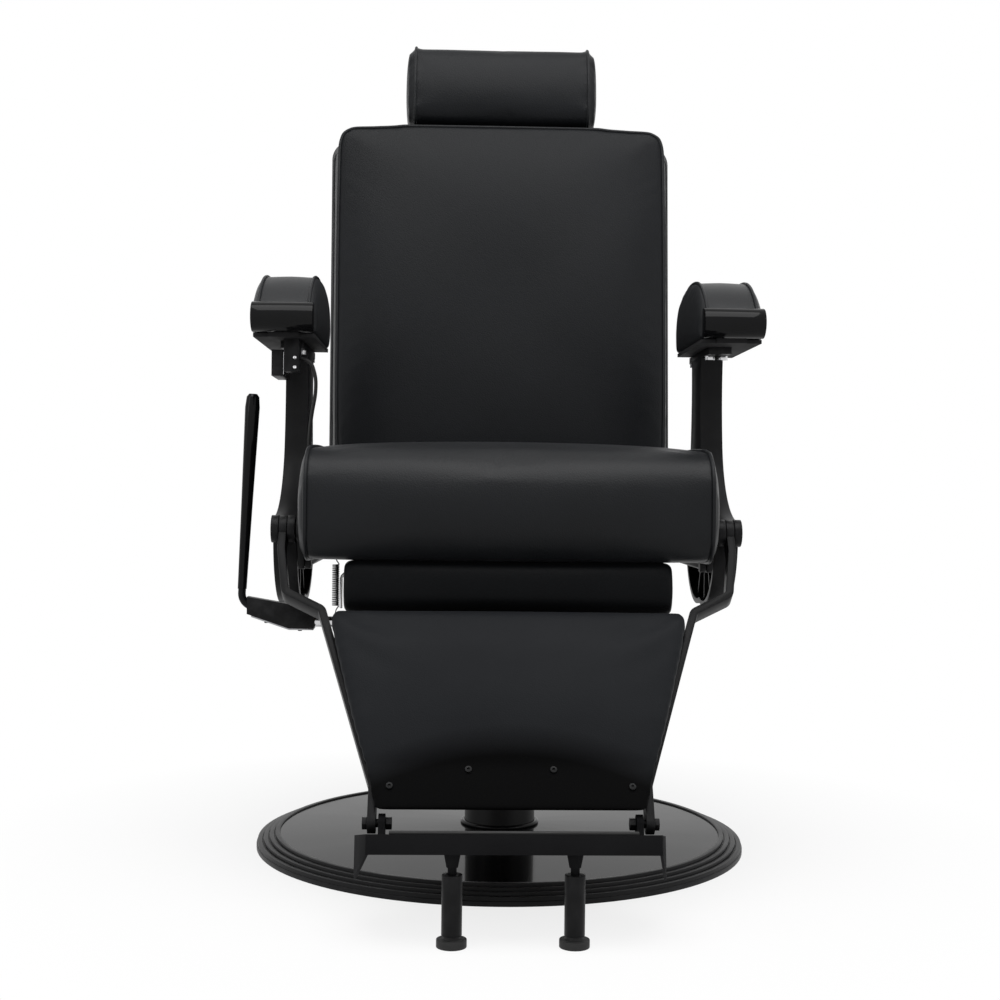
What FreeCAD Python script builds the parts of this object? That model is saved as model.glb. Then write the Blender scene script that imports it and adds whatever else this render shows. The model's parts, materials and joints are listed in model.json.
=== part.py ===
import FreeCAD, Part
import Sketcher
import math
import os
import re

# Barber chair: round base, hydraulic column, swivelling seat, linked back and leg rest.
# Millimetres. +Z is up, the sitter faces -Y, and the origin is the floor under the column.
# The sitter's left is +X and the sitter's right is -X.

Vector = FreeCAD.Vector
SIDES = (("left", 1), ("right", -1))

DIMENSIONS = {
    # Round base
    "base_radius": 345, "rim_width": 33, "rim_height": 22, "rim_edge": 8, "rim_groove": 1.6,
    "cover_edge": 20, "cover_crown": 28, "cover_wall": 2, "weight_plate": 8, "weight_ring": 20,
    "hub_height": "=cover_crown - cover_wall - flange_thick - bolt_head_thick - 1", "fit_gap": 0.3,
    "running_gap": 0.05,
    # Column and lift
    "column_radius": 50, "column_wall": 6, "column_top": 245, "flange_radius": "=column_radius + 20",
    "flange_thick": 9, "collar_radius": "=column_radius + 6", "collar_height": 5, "bush_length": 80,
    "ram_radius": 30, "ram_bottom": 40, "spigot_radius": 20, "bearing_radius": 36, "bearing_thick": 8,
    "bearing_bottom": "=column_top + 17",
    # Pump housing and lever
    "housing_radius": 58, "housing_height": 90, "housing_cap": 10, "boss_radius": 20, "boss_reach": 105,
    "shaft_radius": 8, "shaft_height": "=bearing_bottom + 52", "shaft_inner": 28,
    "shaft_outer": "=casting_inner + 23", "clamp_inner": "=casting_inner - 9", "clamp_length": 96,
    "clamp_size": 19, "clamp_rise": 20, "handle_radius": 5.5, "grip_bottom": "=bearing_bottom + 98",
    "grip_top": "=bearing_bottom + 377", "grip_thin": 6.4, "grip_middle": 8.4, "grip_thick": 10.5,
    "elbow_reach": "=casting_inner + 95", "grip_reach": "=casting_inner + 82", "elbow_rise": 25,
    "lug_reach": 45,
    # Return spring of the pump lever
    "spring_place": 235, "coil_radius": 4.4, "wire_radius": 0.8, "coil_pitch": 2.54,
    "coil_bottom": "=bearing_bottom + 78",
    # Seat frame
    "plate_width": 250, "plate_depth": 200, "plate_thick": 8, "rail_place": 100, "rail_width": 30,
    "rail_height": 43, "rail_front": 223, "rail_back": 212, "rail_wall": 2.5, "cross_width": 40,
    "cross_height": 24, "cross_wall": 3, "cross_end": 12, "cross_front": -105, "cross_back": 35,
    "board_width": 464, "board_thick": 15, "board_front": 176, "bolt_radius": 4, "bolt_head": 7,
    "bolt_head_thick": 6,
    # Seat cushion and apron
    "seat_width": "=(casting_inner - 13) * 2", "seat_front": 290, "seat_back": 100, "seat_thick": 110,
    "seat_crown": 8, "roll_depth": 110, "roll_bottom": "=bearing_bottom + 151", "roll_radius": 58,
    "seat_drawn_in": 13, "seat_end": 11, "apron_width": 418, "apron_bottom": "=bearing_bottom + 83",
    "apron_thick": 36, "apron_board": 12,
    # Side castings and arms
    "casting_inner": 277, "casting_width": 31, "casting_wall": 7, "post_waist": 125,
    "casting_top": "=bearing_bottom + 442", "post_front": 45, "post_back": 40, "lobe_front": 172,
    "lobe_back": 74, "lobe_bottom": "=bearing_bottom + 88", "barrel_radius": 18, "arm_flange": 9,
    "flange_front": 110, "flange_back": 62, "rib_thick": 4, "hollow_top": "=bearing_bottom + 238",
    "arm_inner": "=casting_inner - 23", "arm_width": 89, "arm_front": 165.5, "arm_back": 62,
    "arm_crown": 90, "arm_shoulder": 38, "arm_plate": 5, "arm_drawn_in": 8, "nose_radius": 20,
    "nose_inner": "=casting_inner - 20", "nose_length": 81, "nose_height": "=bearing_bottom + 467",
    "nose_place": 178,
    # Recline release under the right arm
    "paddle_height": "=bearing_bottom + 410", "paddle_place": 132, "paddle_length": 66,
    "paddle_width": 16, "paddle_thick": 6, "paddle_pin": 3, "cable_radius": 2.5,
    # Linked motion
    "leg_axis_front": 185, "leg_axis_height": "=bearing_bottom + 189", "back_axis": 190,
    "pin_radius": 7, "crank_length": 50, "crank_angle": 27, "crank_inner": "=casting_inner - 10",
    "crank_thick": 8, "crank_pin": 5, "link_thick": 8, "link_height": 8, "link_eye": 8.5,
    "open_gap": 0.4, "recline_shaft_radius": 10, "bracket_thick": 10, "lug_length": 60, "lug_angle": 25,
    "lug_thick": 10, "lug_clearance": 3.2, "cylinder_radius": 14, "cylinder_front": 62,
    "cylinder_back": 120, "rod_radius": 6,
    # Back rest, in its own leaning frame
    "back_lean": 12, "back_bottom": 38, "back_top": 635, "back_width": 524, "back_taper": 10,
    "back_front": 87, "back_crown": 12, "back_pad": 70, "back_board": 12, "back_arm_width": 50,
    "back_arm_thick": 10, "back_arm_place": 205, "back_arm_top": 480, "shell_width": 530,
    "shell_back": 24, "shell_wall": 8, "shell_corner": 34, "back_corner": 22,
    # Head rest
    "head_width": 308, "head_height": 138, "head_front": 84, "head_back": 14, "head_gap": 1.2,
    "head_post": 6, "head_post_place": 55, "head_post_depth": 170, "sleeve_radius": 8.5,
    "sleeve_length": 110, "head_bar": 5,
    # Leg rest, in its own leaning frame
    "leg_lean": 34.3, "leg_length": 405, "hanger_thick": 10, "hanger_depth": 24,
    "hanger_top": "=casting_inner + 15.5", "hanger_knee": "=casting_inner + 6", "hanger_inner": 235,
    "hanger_foot": 162, "eye_drop": 36, "knee_drop": 100, "bend_drop": 126,
    "ankle_drop": "=leg_length - 43", "bar_radius": 9, "calf_top": 138,
    "calf_bottom": "=leg_length - 7", "calf_top_width": 452, "calf_bottom_width": 318, "calf_board": 8,
    "calf_thick": 26, "calf_hem": 8, "calf_border": 12, "calf_flat": "=leg_length - 65",
    "screw_low": 30, "screw_high": 51, "screw_far": 142, "screw_near": 50,
    # Foot rest, in its own leaning frame
    "foot_lean": 13.5, "foot_drop": 13.7, "foot_depth": 100, "foot_tail": 10, "foot_front_width": 326,
    "foot_back_width": 364, "foot_sheet": 3, "foot_lip": 22, "foot_cheek": 50, "foot_bolt": 5,
    "ear_radius": 11, "ear_inner": 146, "ear_thick": 8, "mat_thick": 2, "mat_rib": 2, "mat_half": 138,
    # Support legs of the foot rest
    "leg_place": 68, "leg_front": "=leg_axis_front + leg_length * sin(leg_lean) + 89.8",
    "leg_tube_radius": 11.5, "leg_tube_top": 80, "leg_tube_bottom": 13, "leg_foot_radius": 17,
    "leg_foot_height": 9, "leg_neck_radius": 9, "stud_radius": 5, "cone_bottom": 88, "cone_top": 101,
    "cone_thin": 6.5,
}
RIM_STEPS = 4
COLUMN_BOLTS = 6
SPRING_TURNS = 23
MAT_RIBS = 9

doc = FreeCAD.newDocument("BarberChair")
sheet = doc.addObject("Spreadsheet::Sheet", "Dims")
for row, (alias, number) in enumerate(DIMENSIONS.items(), start=1):
    sheet.set(f"A{row}", alias)
    sheet.set(f"B{row}", str(number))
    sheet.setAlias(f"B{row}", alias)
doc.recompute()

NODES = {}


def dim(alias):
    """A driving dimension, read back from the sheet."""
    return float(sheet.get(alias))


def formula(text):
    """A formula in dimension names, written the way the sheet's cells are addressed."""
    return re.sub(r"\b[a-z]+(?:_[a-z]+)+\b", lambda word: "Dims." + word.group(), text)


def bind(thing, **formulas):
    for prop, text in formulas.items():
        thing.setExpression(prop, formula(text))


def place(thing, x="0", y="0", z="0"):
    for axis, text in zip("xyz", (x, y, z)):
        thing.setExpression(f"Placement.Base.{axis}", formula(text))


def node(label, thing):
    """Name a finished sub-part."""
    thing.Label = label
    NODES[label] = thing
    return thing


def box(size, corner):
    thing = doc.addObject("Part::Box", "Block")
    bind(thing, Length=size[0], Width=size[1], Height=size[2])
    place(thing, *corner)
    return thing


def side_span(side, inner, width):
    """Where a piece starts along X when it spans from inner to inner + width on one side."""
    return f"{inner}" if side > 0 else f"-({inner}) - ({width})"


AXIS_TURN = {
    "X": FreeCAD.Rotation(Vector(0, 1, 0), 90),
    "Y": FreeCAD.Rotation(Vector(1, 0, 0), -90),
    "Z": FreeCAD.Rotation(),
}


def rod(radius, length, start, along="Z"):
    thing = doc.addObject("Part::Cylinder", "Rod")
    bind(thing, Radius=radius, Height=length)
    thing.Placement = FreeCAD.Placement(Vector(), AXIS_TURN[along])
    place(thing, *start)
    return thing


def hexagon(across, height, start, along="Z"):
    thing = doc.addObject("Part::Prism", "Hex")
    thing.Polygon = 6
    bind(thing, Circumradius=across, Height=height)
    thing.Placement = FreeCAD.Placement(Vector(), AXIS_TURN[along])
    place(thing, *start)
    return thing


def fuse(*pieces):
    thing = doc.addObject("Part::MultiFuse", "Joined")
    thing.Shapes = list(pieces)
    return thing


def group(*pieces):
    thing = doc.addObject("Part::Compound", "Group")
    thing.Links = list(pieces)
    return thing


def cut(base, *tools):
    thing = doc.addObject("Part::Cut", "Cut")
    thing.Base = base
    thing.Tool = tools[0] if len(tools) == 1 else group(*tools)
    return thing


def outline_sketch(body, plane, corners):
    """A closed sketch whose corners are pairs of formulas."""
    sketch = body.newObject("Sketcher::SketchObject", "Outline")
    origin = [part for part in body.Origin.OriginFeatures if part.Role == plane][0]
    sketch.AttachmentSupport = (origin, [""])
    sketch.MapMode = "FlatFace"
    count = len(corners)
    ring = [Vector(200 * math.cos(math.tau * i / count), 200 * math.sin(math.tau * i / count), 0)
            for i in range(count)]
    for i in range(count):
        sketch.addGeometry(Part.LineSegment(ring[i], ring[(i + 1) % count]), False)
    for i in range(count):
        sketch.addConstraint(Sketcher.Constraint("Coincident", i, 2, (i + 1) % count, 1))
    for i, corner in enumerate(corners):
        for kind, text, start in zip(("DistanceX", "DistanceY"), corner, (ring[i].x, ring[i].y)):
            number = sketch.addConstraint(Sketcher.Constraint(kind, -1, 1, i, 1, start))
            sketch.setExpression(f"Constraints[{number}]", formula(text))
    return sketch


def turned(corners):
    """A body turned about Z from (radius, height) corners."""
    body = doc.addObject("PartDesign::Body", "Turned")
    sketch = outline_sketch(body, "XZ_Plane", corners)
    revolution = body.newObject("PartDesign::Revolution", "Revolution")
    revolution.Profile = sketch
    revolution.ReferenceAxis = (sketch, ["V_Axis"])
    revolution.Angle = 360
    return body


def plate(corners, thick, plane="XZ_Plane"):
    """A body padded from an outline, to both sides of its sketch plane."""
    body = doc.addObject("PartDesign::Body", "Plate")
    pad = body.newObject("PartDesign::Pad", "Pad")
    pad.Profile = outline_sketch(body, plane, corners)
    pad.SideType = "Symmetric"
    bind(pad, Length=thick)
    body.Tip = pad
    return body


# Three leaning frames: the back on its shaft, the leg rest on its hinge, the foot rest on its bolts.
FRAMES = {
    "back": ("back_axis", "leg_axis_height", "back_lean"),
    "leg": ("-leg_axis_front", "leg_axis_height", "leg_lean"),
    "foot": ("-leg_axis_front - leg_length * sin(leg_lean)",
             "leg_axis_height - leg_length * cos(leg_lean)", "foot_lean"),
}


def lean(thing, frame):
    """Place a piece that was drawn upright into a leaning frame."""
    y, z, angle = FRAMES[frame]
    thing.Placement = FreeCAD.Placement(Vector(), FreeCAD.Rotation(Vector(-1, 0, 0), 10))
    place(thing, "0", y, z)
    thing.setExpression("Placement.Rotation.Angle", formula(angle))
    return thing


def frame_placement(frame):
    """The same leaning frame as numbers, for pieces whose shape is set directly."""
    leg_lean = math.radians(dim("leg_lean"))
    places = {
        "back": (dim("back_axis"), dim("leg_axis_height"), dim("back_lean")),
        "leg": (-dim("leg_axis_front"), dim("leg_axis_height"), dim("leg_lean")),
        "foot": (-dim("leg_axis_front") - dim("leg_length") * math.sin(leg_lean),
                 dim("leg_axis_height") - dim("leg_length") * math.cos(leg_lean), dim("foot_lean")),
    }
    y, z, angle = places[frame]
    return FreeCAD.Placement(Vector(0, y, z), FreeCAD.Rotation(Vector(-1, 0, 0), angle))


def shaped(label, shape, frame=None):
    """A sub-part whose shape comes from curves that no primitive or sketch gives."""
    thing = doc.addObject("Part::Feature", label)
    thing.Shape = shape
    if frame:
        thing.Placement = frame_placement(frame)
    return node(label, thing)


def wire(start, *steps):
    """A wire of lines, given by their end, and arcs, given by a middle point and their end."""
    edges = []
    here = start
    for step in steps:
        if len(step) == 1:
            edges.append(Part.LineSegment(here, step[0]).toShape())
        else:
            edges.append(Part.Arc(here, step[0], step[1]).toShape())
        here = step[-1]
    return Part.Wire(edges)


def route(points, radius=None):
    """Straight runs joined by tangent arcs: of one radius, or each as large as its runs allow."""
    edges = []
    radii = []
    here = points[0]
    for before, point, after in zip(points, points[1:], points[2:]):
        run_in = point - before
        run_out = after - point
        half = run_in.getAngle(run_out) / 2
        bend = radius or 0.45 * min(run_in.Length, run_out.Length) / math.tan(half)
        radii.append(round(bend, 1))
        run_in.normalize()
        run_out.normalize()
        inward = (run_out - run_in).normalize()
        first = point - run_in * (bend * math.tan(half))
        last = point + run_out * (bend * math.tan(half))
        middle = point + inward * (bend / math.cos(half) - bend)
        edges.append(Part.LineSegment(here, first).toShape())
        edges.append(Part.Arc(first, middle, last).toShape())
        here = last
    edges.append(Part.LineSegment(here, points[-1]).toShape())
    return Part.Wire(edges), radii


def round_tube(path, radius, start, direction):
    """A round section swept along a path that sets off from start in one direction."""
    ring = Part.Wire(Part.makeCircle(radius, start, direction))
    return path.makePipeShell([ring], True, False)


def mirrored(shape):
    return shape.mirror(Vector(), Vector(1, 0, 0))


# Heights that pieces stack up to
SEAT_STACK = "bearing_bottom + bearing_thick + housing_height"
PLATE_TOP = f"({SEAT_STACK} + plate_thick)"
RAIL_TOP = f"({PLATE_TOP} + rail_height)"
CROSS_TOP = f"({RAIL_TOP} + cross_height)"


def stack_top(*extra):
    """The same stack as a number, up to the named layers."""
    return sum(dim(name) for name in ("bearing_bottom", "bearing_thick", "housing_height") + extra)


seat_bottom = stack_top("plate_thick", "rail_height", "cross_height", "board_thick")
rail_top = stack_top("plate_thick", "rail_height")


# Base and column
def make_base():
    cover_radius = "(base_radius - rim_width)"
    hole = "(column_radius + fit_gap)"
    node("base_weight", cut(turned([
        ("0", "0"), (f"{cover_radius} - cover_wall - fit_gap", "0"),
        (f"{cover_radius} - cover_wall - fit_gap", "cover_edge - cover_wall - fit_gap"),
        (f"{cover_radius} - weight_ring", "cover_edge - cover_wall - fit_gap"),
        (f"{cover_radius} - weight_ring", "weight_plate"), ("flange_radius + fit_gap", "weight_plate"),
        ("flange_radius + fit_gap", "hub_height"), ("0", "hub_height")]), *bolt_ring_holes()))
    node("base_cover", turned([
        (f"{cover_radius} - cover_wall", "fit_gap"), (cover_radius, "fit_gap"),
        (cover_radius, "cover_edge"), (hole, "cover_crown"), (hole, "cover_crown - cover_wall"),
        (f"{cover_radius} - cover_wall", "cover_edge - cover_wall")]))
    inner = f"({cover_radius} + fit_gap)"
    tread = "(rim_width - fit_gap) / " + str(RIM_STEPS)
    drop = "(rim_height - rim_edge) / " + str(RIM_STEPS)
    corners = [(inner, "0"), (inner, "rim_height")]
    for i in range(RIM_STEPS):
        edge = f"{inner} + {tread} * {i + 1}"
        level = f"rim_height - {drop} * {i}"
        corners.append((f"{edge} - rim_groove", level))
        corners.append((f"{edge} - rim_groove", f"{level} - {drop} - rim_groove"))
        corners.append((edge, f"{level} - {drop} - rim_groove"))
        corners.append((edge, f"{level} - {drop}"))
    corners[-2:] = [("base_radius", "rim_edge - rim_groove")]
    corners.append(("base_radius", "0"))
    node("base_rim", turned(corners))


def ring_place(i):
    turn = 360 / COLUMN_BOLTS * i
    reach = "(column_radius + flange_radius) / 2"
    return f"{reach} * cos({turn})", f"{reach} * sin({turn})"


def bolt_ring_holes():
    return [rod("bolt_radius + fit_gap", "hub_height",
                (*ring_place(i), "hub_height / 4")) for i in range(COLUMN_BOLTS)]


def make_column():
    flange_top = "(hub_height + flange_thick)"
    bore = "(column_radius - column_wall)"
    sleeve = turned([
        (bore, "hub_height"), ("flange_radius", "hub_height"), ("flange_radius", flange_top),
        ("column_radius", flange_top), ("column_radius", "column_top"), (bore, "column_top")])
    holes = [rod("bolt_radius + fit_gap", "flange_thick", (*ring_place(i), "hub_height"))
             for i in range(COLUMN_BOLTS)]
    node("column_sleeve", cut(sleeve, *holes))
    bolts = []
    for i in range(COLUMN_BOLTS):
        x, y = ring_place(i)
        shank = rod("bolt_radius", "flange_thick + hub_height / 2",
                    (x, y, f"{flange_top} - flange_thick - hub_height / 2"))
        bolts.append(fuse(shank, hexagon("bolt_head", "bolt_head_thick", (x, y, flange_top))))
    node("column_bolts", group(*bolts))
    inner = "(column_radius + fit_gap)"
    rise = "cover_crown + collar_height"
    node("column_collar", turned([
        (inner, "cover_crown"), ("collar_radius", "cover_crown"),
        ("collar_radius", f"{rise} - cover_wall"), ("collar_radius - cover_wall", rise), (inner, rise)]))
    node("guide_bush", turned([
        ("ram_radius + running_gap", "column_top - bush_length"),
                               (f"{bore} - running_gap", "column_top - bush_length"),
        (f"{bore} - running_gap", "column_top"), ("column_radius - cover_wall", "column_top"),
        ("column_radius - cover_wall", "column_top + cover_wall * 2"),
                               ("ram_radius + running_gap", "column_top + cover_wall * 2")]))
    spigot_top = f"{SEAT_STACK} - housing_cap - cover_wall"
    node("lift_ram", turned([
        ("0", "ram_bottom"), ("ram_radius", "ram_bottom"), ("ram_radius", "bearing_bottom"),
        ("spigot_radius", "bearing_bottom"), ("spigot_radius", spigot_top), ("0", spigot_top)]))
    node("swivel_bearing", turned([
        ("spigot_radius + running_gap", "bearing_bottom"), ("bearing_radius", "bearing_bottom"),
        ("bearing_radius", "bearing_bottom + bearing_thick"),
                                   ("spigot_radius + running_gap", "bearing_bottom + bearing_thick")]))


# Pump housing, lever and its return spring
SPRING_HOOK = 2.4
SPRING_FOOT = f"(coil_bottom - {SPRING_HOOK} * coil_radius - 2 * wire_radius)"


def make_pump():
    bottom = "(bearing_bottom + bearing_thick)"
    drum = rod("housing_radius", "housing_height", ("0", "0", bottom))
    boss = rod("boss_radius", "boss_reach", ("-boss_reach", "0", "shaft_height"), "X")
    bore = rod("spigot_radius + running_gap", "housing_height - housing_cap", ("0", "0", bottom))
    lever_bore = rod("shaft_radius + running_gap", "boss_reach - shaft_inner + cover_wall",
                     ("-boss_reach", "0", "shaft_height"), "X")
    node("pump_housing", cut(fuse(drum, boss), bore, lever_bore, *[hole for hole, bolt in mount_bolts()]))
    shaft = rod("shaft_radius", "shaft_outer - shaft_inner", ("-shaft_outer", "0", "shaft_height"), "X")
    lug_left = "-spring_place - cover_wall"
    arm = box(("cover_wall * 2", "lug_reach + bolt_radius", "shaft_radius"),
              (lug_left, "-lug_reach - bolt_radius", "shaft_height"))
    horn = box(("cover_wall * 2", "bolt_radius * 2", f"{SPRING_FOOT} - shaft_height - fit_gap"),
               (lug_left, "-lug_reach - bolt_radius", "shaft_height"))
    node("lever_shaft", fuse(shaft, arm, horn))

    under = "shaft_height - clamp_size / 2"
    outer = "-clamp_inner - clamp_length"
    clamp = plate([("-clamp_inner", under), ("-clamp_inner", f"{under} + clamp_size * 1.5"),
                   (outer, f"{under} + clamp_size * 1.3 + clamp_rise"), (outer, f"{under} + clamp_rise"),
                   ("-shaft_outer - bolt_radius", under)],
                  "clamp_size")
    seat = rod("shaft_radius + running_gap", "shaft_outer - clamp_inner",
               ("-shaft_outer", "0", "shaft_height"), "X")
    screw_places = [f"-clamp_inner - {share} * clamp_length" for share in (0.12, 0.24)]
    holes = [rod("bolt_radius / 2", "clamp_size / 2",
                 (x, "0", "shaft_height - clamp_size / 2")) for x in screw_places]
    handle_path = lever_path()
    socket = doc.addObject("Part::Feature", "HandleSocket")
    socket.Shape = round_tube(handle_path[0], dim("handle_radius") + dim("running_gap"), *handle_path[1:])
    node("lever_clamp", cut(clamp, seat, socket, *holes))
    screws = []
    for x in screw_places:
        shank = rod("bolt_radius / 2 - running_gap", "clamp_size / 2 - shaft_radius - fit_gap",
                    (x, "0", under))
        screws.append(fuse(shank, rod("bolt_radius", "cover_wall", (x, "0", f"{under} - cover_wall"))))
    node("clamp_screws", group(*screws))

    shaped("lever_handle", round_tube(handle_path[0], dim("handle_radius"), *handle_path[1:]))
    foot, tip = grip_line()
    along = tip - foot
    steps = ((0, dim("grip_thin")), (0.5, dim("grip_middle")), (0.93, dim("grip_thick")),
             (0.985, dim("grip_thick") * 0.86), (1, dim("grip_thick") * 0.55))
    rings = [Part.Wire(Part.makeCircle(radius, foot + along * share, along)) for share, radius in steps]
    hollow = round_tube(handle_path[0], dim("handle_radius") + dim("running_gap"), *handle_path[1:])
    shaped("lever_grip", Part.makeLoft(rings, True, True).cut(hollow))


def grip_line():
    foot = Vector(-dim("elbow_reach"), 0, dim("grip_bottom"))
    tip = Vector(-dim("grip_reach"), 0, dim("grip_top"))
    return foot, tip


def lever_path():
    """The bent bar inside the lever: out of the clamp, round the elbow and up inside the grip."""
    foot, tip = grip_line()
    rise = (tip - foot).normalize()
    elbow_height = dim("shaft_height") + dim("elbow_rise")
    start = Vector(-dim("shaft_outer") - dim("bolt_radius"), 0,
                   dim("shaft_height") + dim("clamp_size") * 0.3)
    elbow = foot - rise * (foot.z - elbow_height)
    path, radii = route([start, elbow, tip - rise * dim("grip_thick") * 2], radius=dim("clamp_size"))
    return path, start, elbow - start


def tangent_arc(start, heading, end):
    """An arc that leaves start along heading and ends at end."""
    chord = end - start
    half = heading.getAngle(chord) / 2
    side = heading - chord * (heading.dot(chord) / chord.dot(chord))
    if side.Length < 1e-9:
        return Part.LineSegment(start, end)
    side.normalize()
    return Part.Arc(start, (start + end) / 2 + side * (chord.Length / 2 * math.tan(half)), end)


def biarc(start, heading, end, ending):
    """Two arcs that leave start along heading and reach end along ending."""
    span = end - start
    both = heading + ending
    spread = 2 * (1 - heading.dot(ending))
    lead = span.dot(both)
    if spread < 1e-9:
        reach = span.dot(span) / (2 * lead)
    else:
        reach = (-lead + math.sqrt(lead * lead + spread * span.dot(span))) / spread
    middle = (start + heading * reach + end - ending * reach) / 2
    second = tangent_arc(end, ending * -1, middle)
    return [tangent_arc(start, heading, middle), Part.Arc(middle, second.value(
        (second.FirstParameter + second.LastParameter) / 2), end)]


def make_spring():
    """The return spring: close turns, straight ends on the lever's horn and on the frame's hook."""
    radius = dim("coil_radius")
    wire_radius = dim("wire_radius")
    centre = Vector(-dim("spring_place"), -dim("lug_reach"), dim("coil_bottom"))
    slope = dim("coil_pitch") / math.tau
    quarters = SPRING_TURNS * 4

    def turn_point(quarter):
        angle = quarter * math.pi / 2
        point = centre + Vector(radius * math.cos(angle), radius * math.sin(angle), slope * angle)
        heading = Vector(-radius * math.sin(angle), radius * math.cos(angle), slope).normalize()
        return point, heading

    down = Vector(0, 0, -1)
    top_height = dim("coil_bottom") + dim("coil_pitch") * SPRING_TURNS
    lower = centre + Vector(0, 0, -SPRING_HOOK * radius)
    upper = Vector(centre.x, centre.y, top_height + SPRING_HOOK * radius)
    ends = 2 * wire_radius
    first, first_heading = turn_point(0)
    last, last_heading = turn_point(quarters)
    arcs = [Part.LineSegment(lower + down * ends, lower)]
    arcs += biarc(lower, down * -1, first, first_heading)
    for quarter in range(quarters):
        arcs += biarc(*turn_point(quarter), *turn_point(quarter + 1))
    arcs += biarc(last, last_heading, upper, down * -1)
    arcs.append(Part.LineSegment(upper, upper - down * ends))
    path = Part.Wire([arc.toShape() for arc in arcs])
    tube = round_tube(path, wire_radius, lower + down * ends, down * -1)
    samples = [turn_point(step / 8)[0] for step in range(quarters * 8)]
    apart = 16
    gap = min((a - b).Length for i, a in enumerate(samples) for b in samples[i + apart:i + apart + 24])
    print("return spring: least gap to itself", round(gap - 2 * wire_radius, 2), "mm")
    print("return spring: volume", round(tube.Volume), "of",
          round(math.pi * wire_radius ** 2 * path.Length))
    shaped("return_spring", tube)


# Seat frame
def mount_bolts():
    """The four bolts that hold the mounting plate on the pump housing, each with its hole."""
    pairs = []
    reach = "(spigot_radius + housing_radius) / 2 * sqrt(0.5)"
    for x in (f"{reach}", f"-{reach}"):
        for y in (f"{reach}", f"-{reach}"):
            bottom = f"{SEAT_STACK} - bolt_head * 3"
            hole = rod("bolt_radius + fit_gap", "bolt_head * 3 + plate_thick", (x, y, bottom))
            shank = rod("bolt_radius", "bolt_head * 3 + plate_thick", (x, y, bottom))
            pairs.append((hole, fuse(shank, hexagon("bolt_head", "bolt_head_thick", (x, y, PLATE_TOP)))))
    return pairs


def casting_bolt_places():
    return [(side, y) for name, side in SIDES for y in ("cross_front", "cross_back")]


def arm_bolt_places():
    """Four bolts from below through each arm's flange, two before and two behind its post."""
    places = []
    for name, side in SIDES:
        for offset in ("-bolt_head * 1.3", "bolt_head * 1.3"):
            for y in ("-(post_front + flange_front) / 2", "(post_back + flange_back) / 2"):
                places.append((f"{side} * (casting_inner + casting_width / 2) + {offset}", y))
    return places


def hinge_bracket(side):
    """The upright eye that carries the recline shaft, welded on the rear end of a rail."""
    left = f"{side} * rail_place - bracket_thick / 2"
    web = box(("bracket_thick", "recline_shaft_radius * 4", f"leg_axis_height - {RAIL_TOP}"),
              (left, "back_axis - recline_shaft_radius * 2", RAIL_TOP))
    eye = rod("recline_shaft_radius * 2", "bracket_thick", (left, "back_axis", "leg_axis_height"), "X")
    return fuse(web, eye)


def hinge_bore(side):
    left = f"{side} * rail_place - bracket_thick / 2"
    return rod("recline_shaft_radius + running_gap", "bracket_thick",
               (left, "back_axis", "leg_axis_height"), "X")


def make_frame():
    holes = [hole for hole, bolt in mount_bolts()]
    slab = box(("plate_width", "plate_depth", "plate_thick"),
               ("-plate_width / 2", "-plate_depth / 2", SEAT_STACK))
    node("mount_plate", cut(slab, *holes))
    rails = []
    for name, side in SIDES:
        left = f"{side} * rail_place - rail_width / 2"
        whole = box(("rail_width", "rail_front + rail_back", "rail_height"),
                    (left, "-rail_front", PLATE_TOP))
        hollow = box(("rail_width - 2 * rail_wall", "rail_front + rail_back",
                      "rail_height - 2 * rail_wall"),
                     (f"{left} + rail_wall", "-rail_front", f"{PLATE_TOP} + rail_wall"))
        rails.append(cut(fuse(cut(whole, hollow), hinge_bracket(side)), hinge_bore(side)))
    node("seat_rails", group(*rails))
    beams = {name: cross_member(name) for name in ("cross_front", "cross_back")}
    bracket = box(("cylinder_radius * 3", "-cross_front - cylinder_front",
                   f"{RAIL_TOP} - {CYLINDER_HEIGHT} + cylinder_radius"),
                  ("-cylinder_radius * 1.5", "cross_front", f"{CYLINDER_HEIGHT} - cylinder_radius"))
    spring_hook = box(("bolt_head", "-cross_front - cross_width / 2 - lug_reach + bolt_radius",
                       "bolt_head"),
                      ("-spring_place - bolt_head / 2", "cross_front + cross_width / 2", RAIL_TOP))
    node("front_cross_member", fuse(beams["cross_front"], bracket, spring_hook))
    node("rear_cross_member", beams["cross_back"])
    node("seat_board", box(("board_width", "board_front + seat_back - bolt_head", "board_thick"),
                           ("-board_width / 2", "-board_front", CROSS_TOP)))

    bolts = [bolt for hole, bolt in mount_bolts()]
    face = "(casting_inner + casting_width)"
    middle = f"{RAIL_TOP} + cross_height / 2"
    for side, y in casting_bolt_places():
        length = "casting_width + cross_end"
        shank = rod("bolt_radius", length, (side_span(side, f"{face} - ({length})", length), y, middle),
                    "X")
        head = hexagon("bolt_head", "bolt_head_thick",
                       (side_span(side, face, "bolt_head_thick"), y, middle), "X")
        bolts.append(fuse(shank, head))
    under = "casting_top - arm_flange"
    for x, y in arm_bolt_places():
        shank = rod("bolt_radius", "arm_flange + arm_plate", (x, y, under))
        bolts.append(fuse(shank,
                          hexagon("bolt_head", "bolt_head_thick", (x, y, f"{under} - bolt_head_thick"))))
    node("frame_bolts", group(*bolts))


CYLINDER_HEIGHT = "(leg_axis_height - lug_length * (1 + cos(lug_angle)) / 2)"


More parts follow.
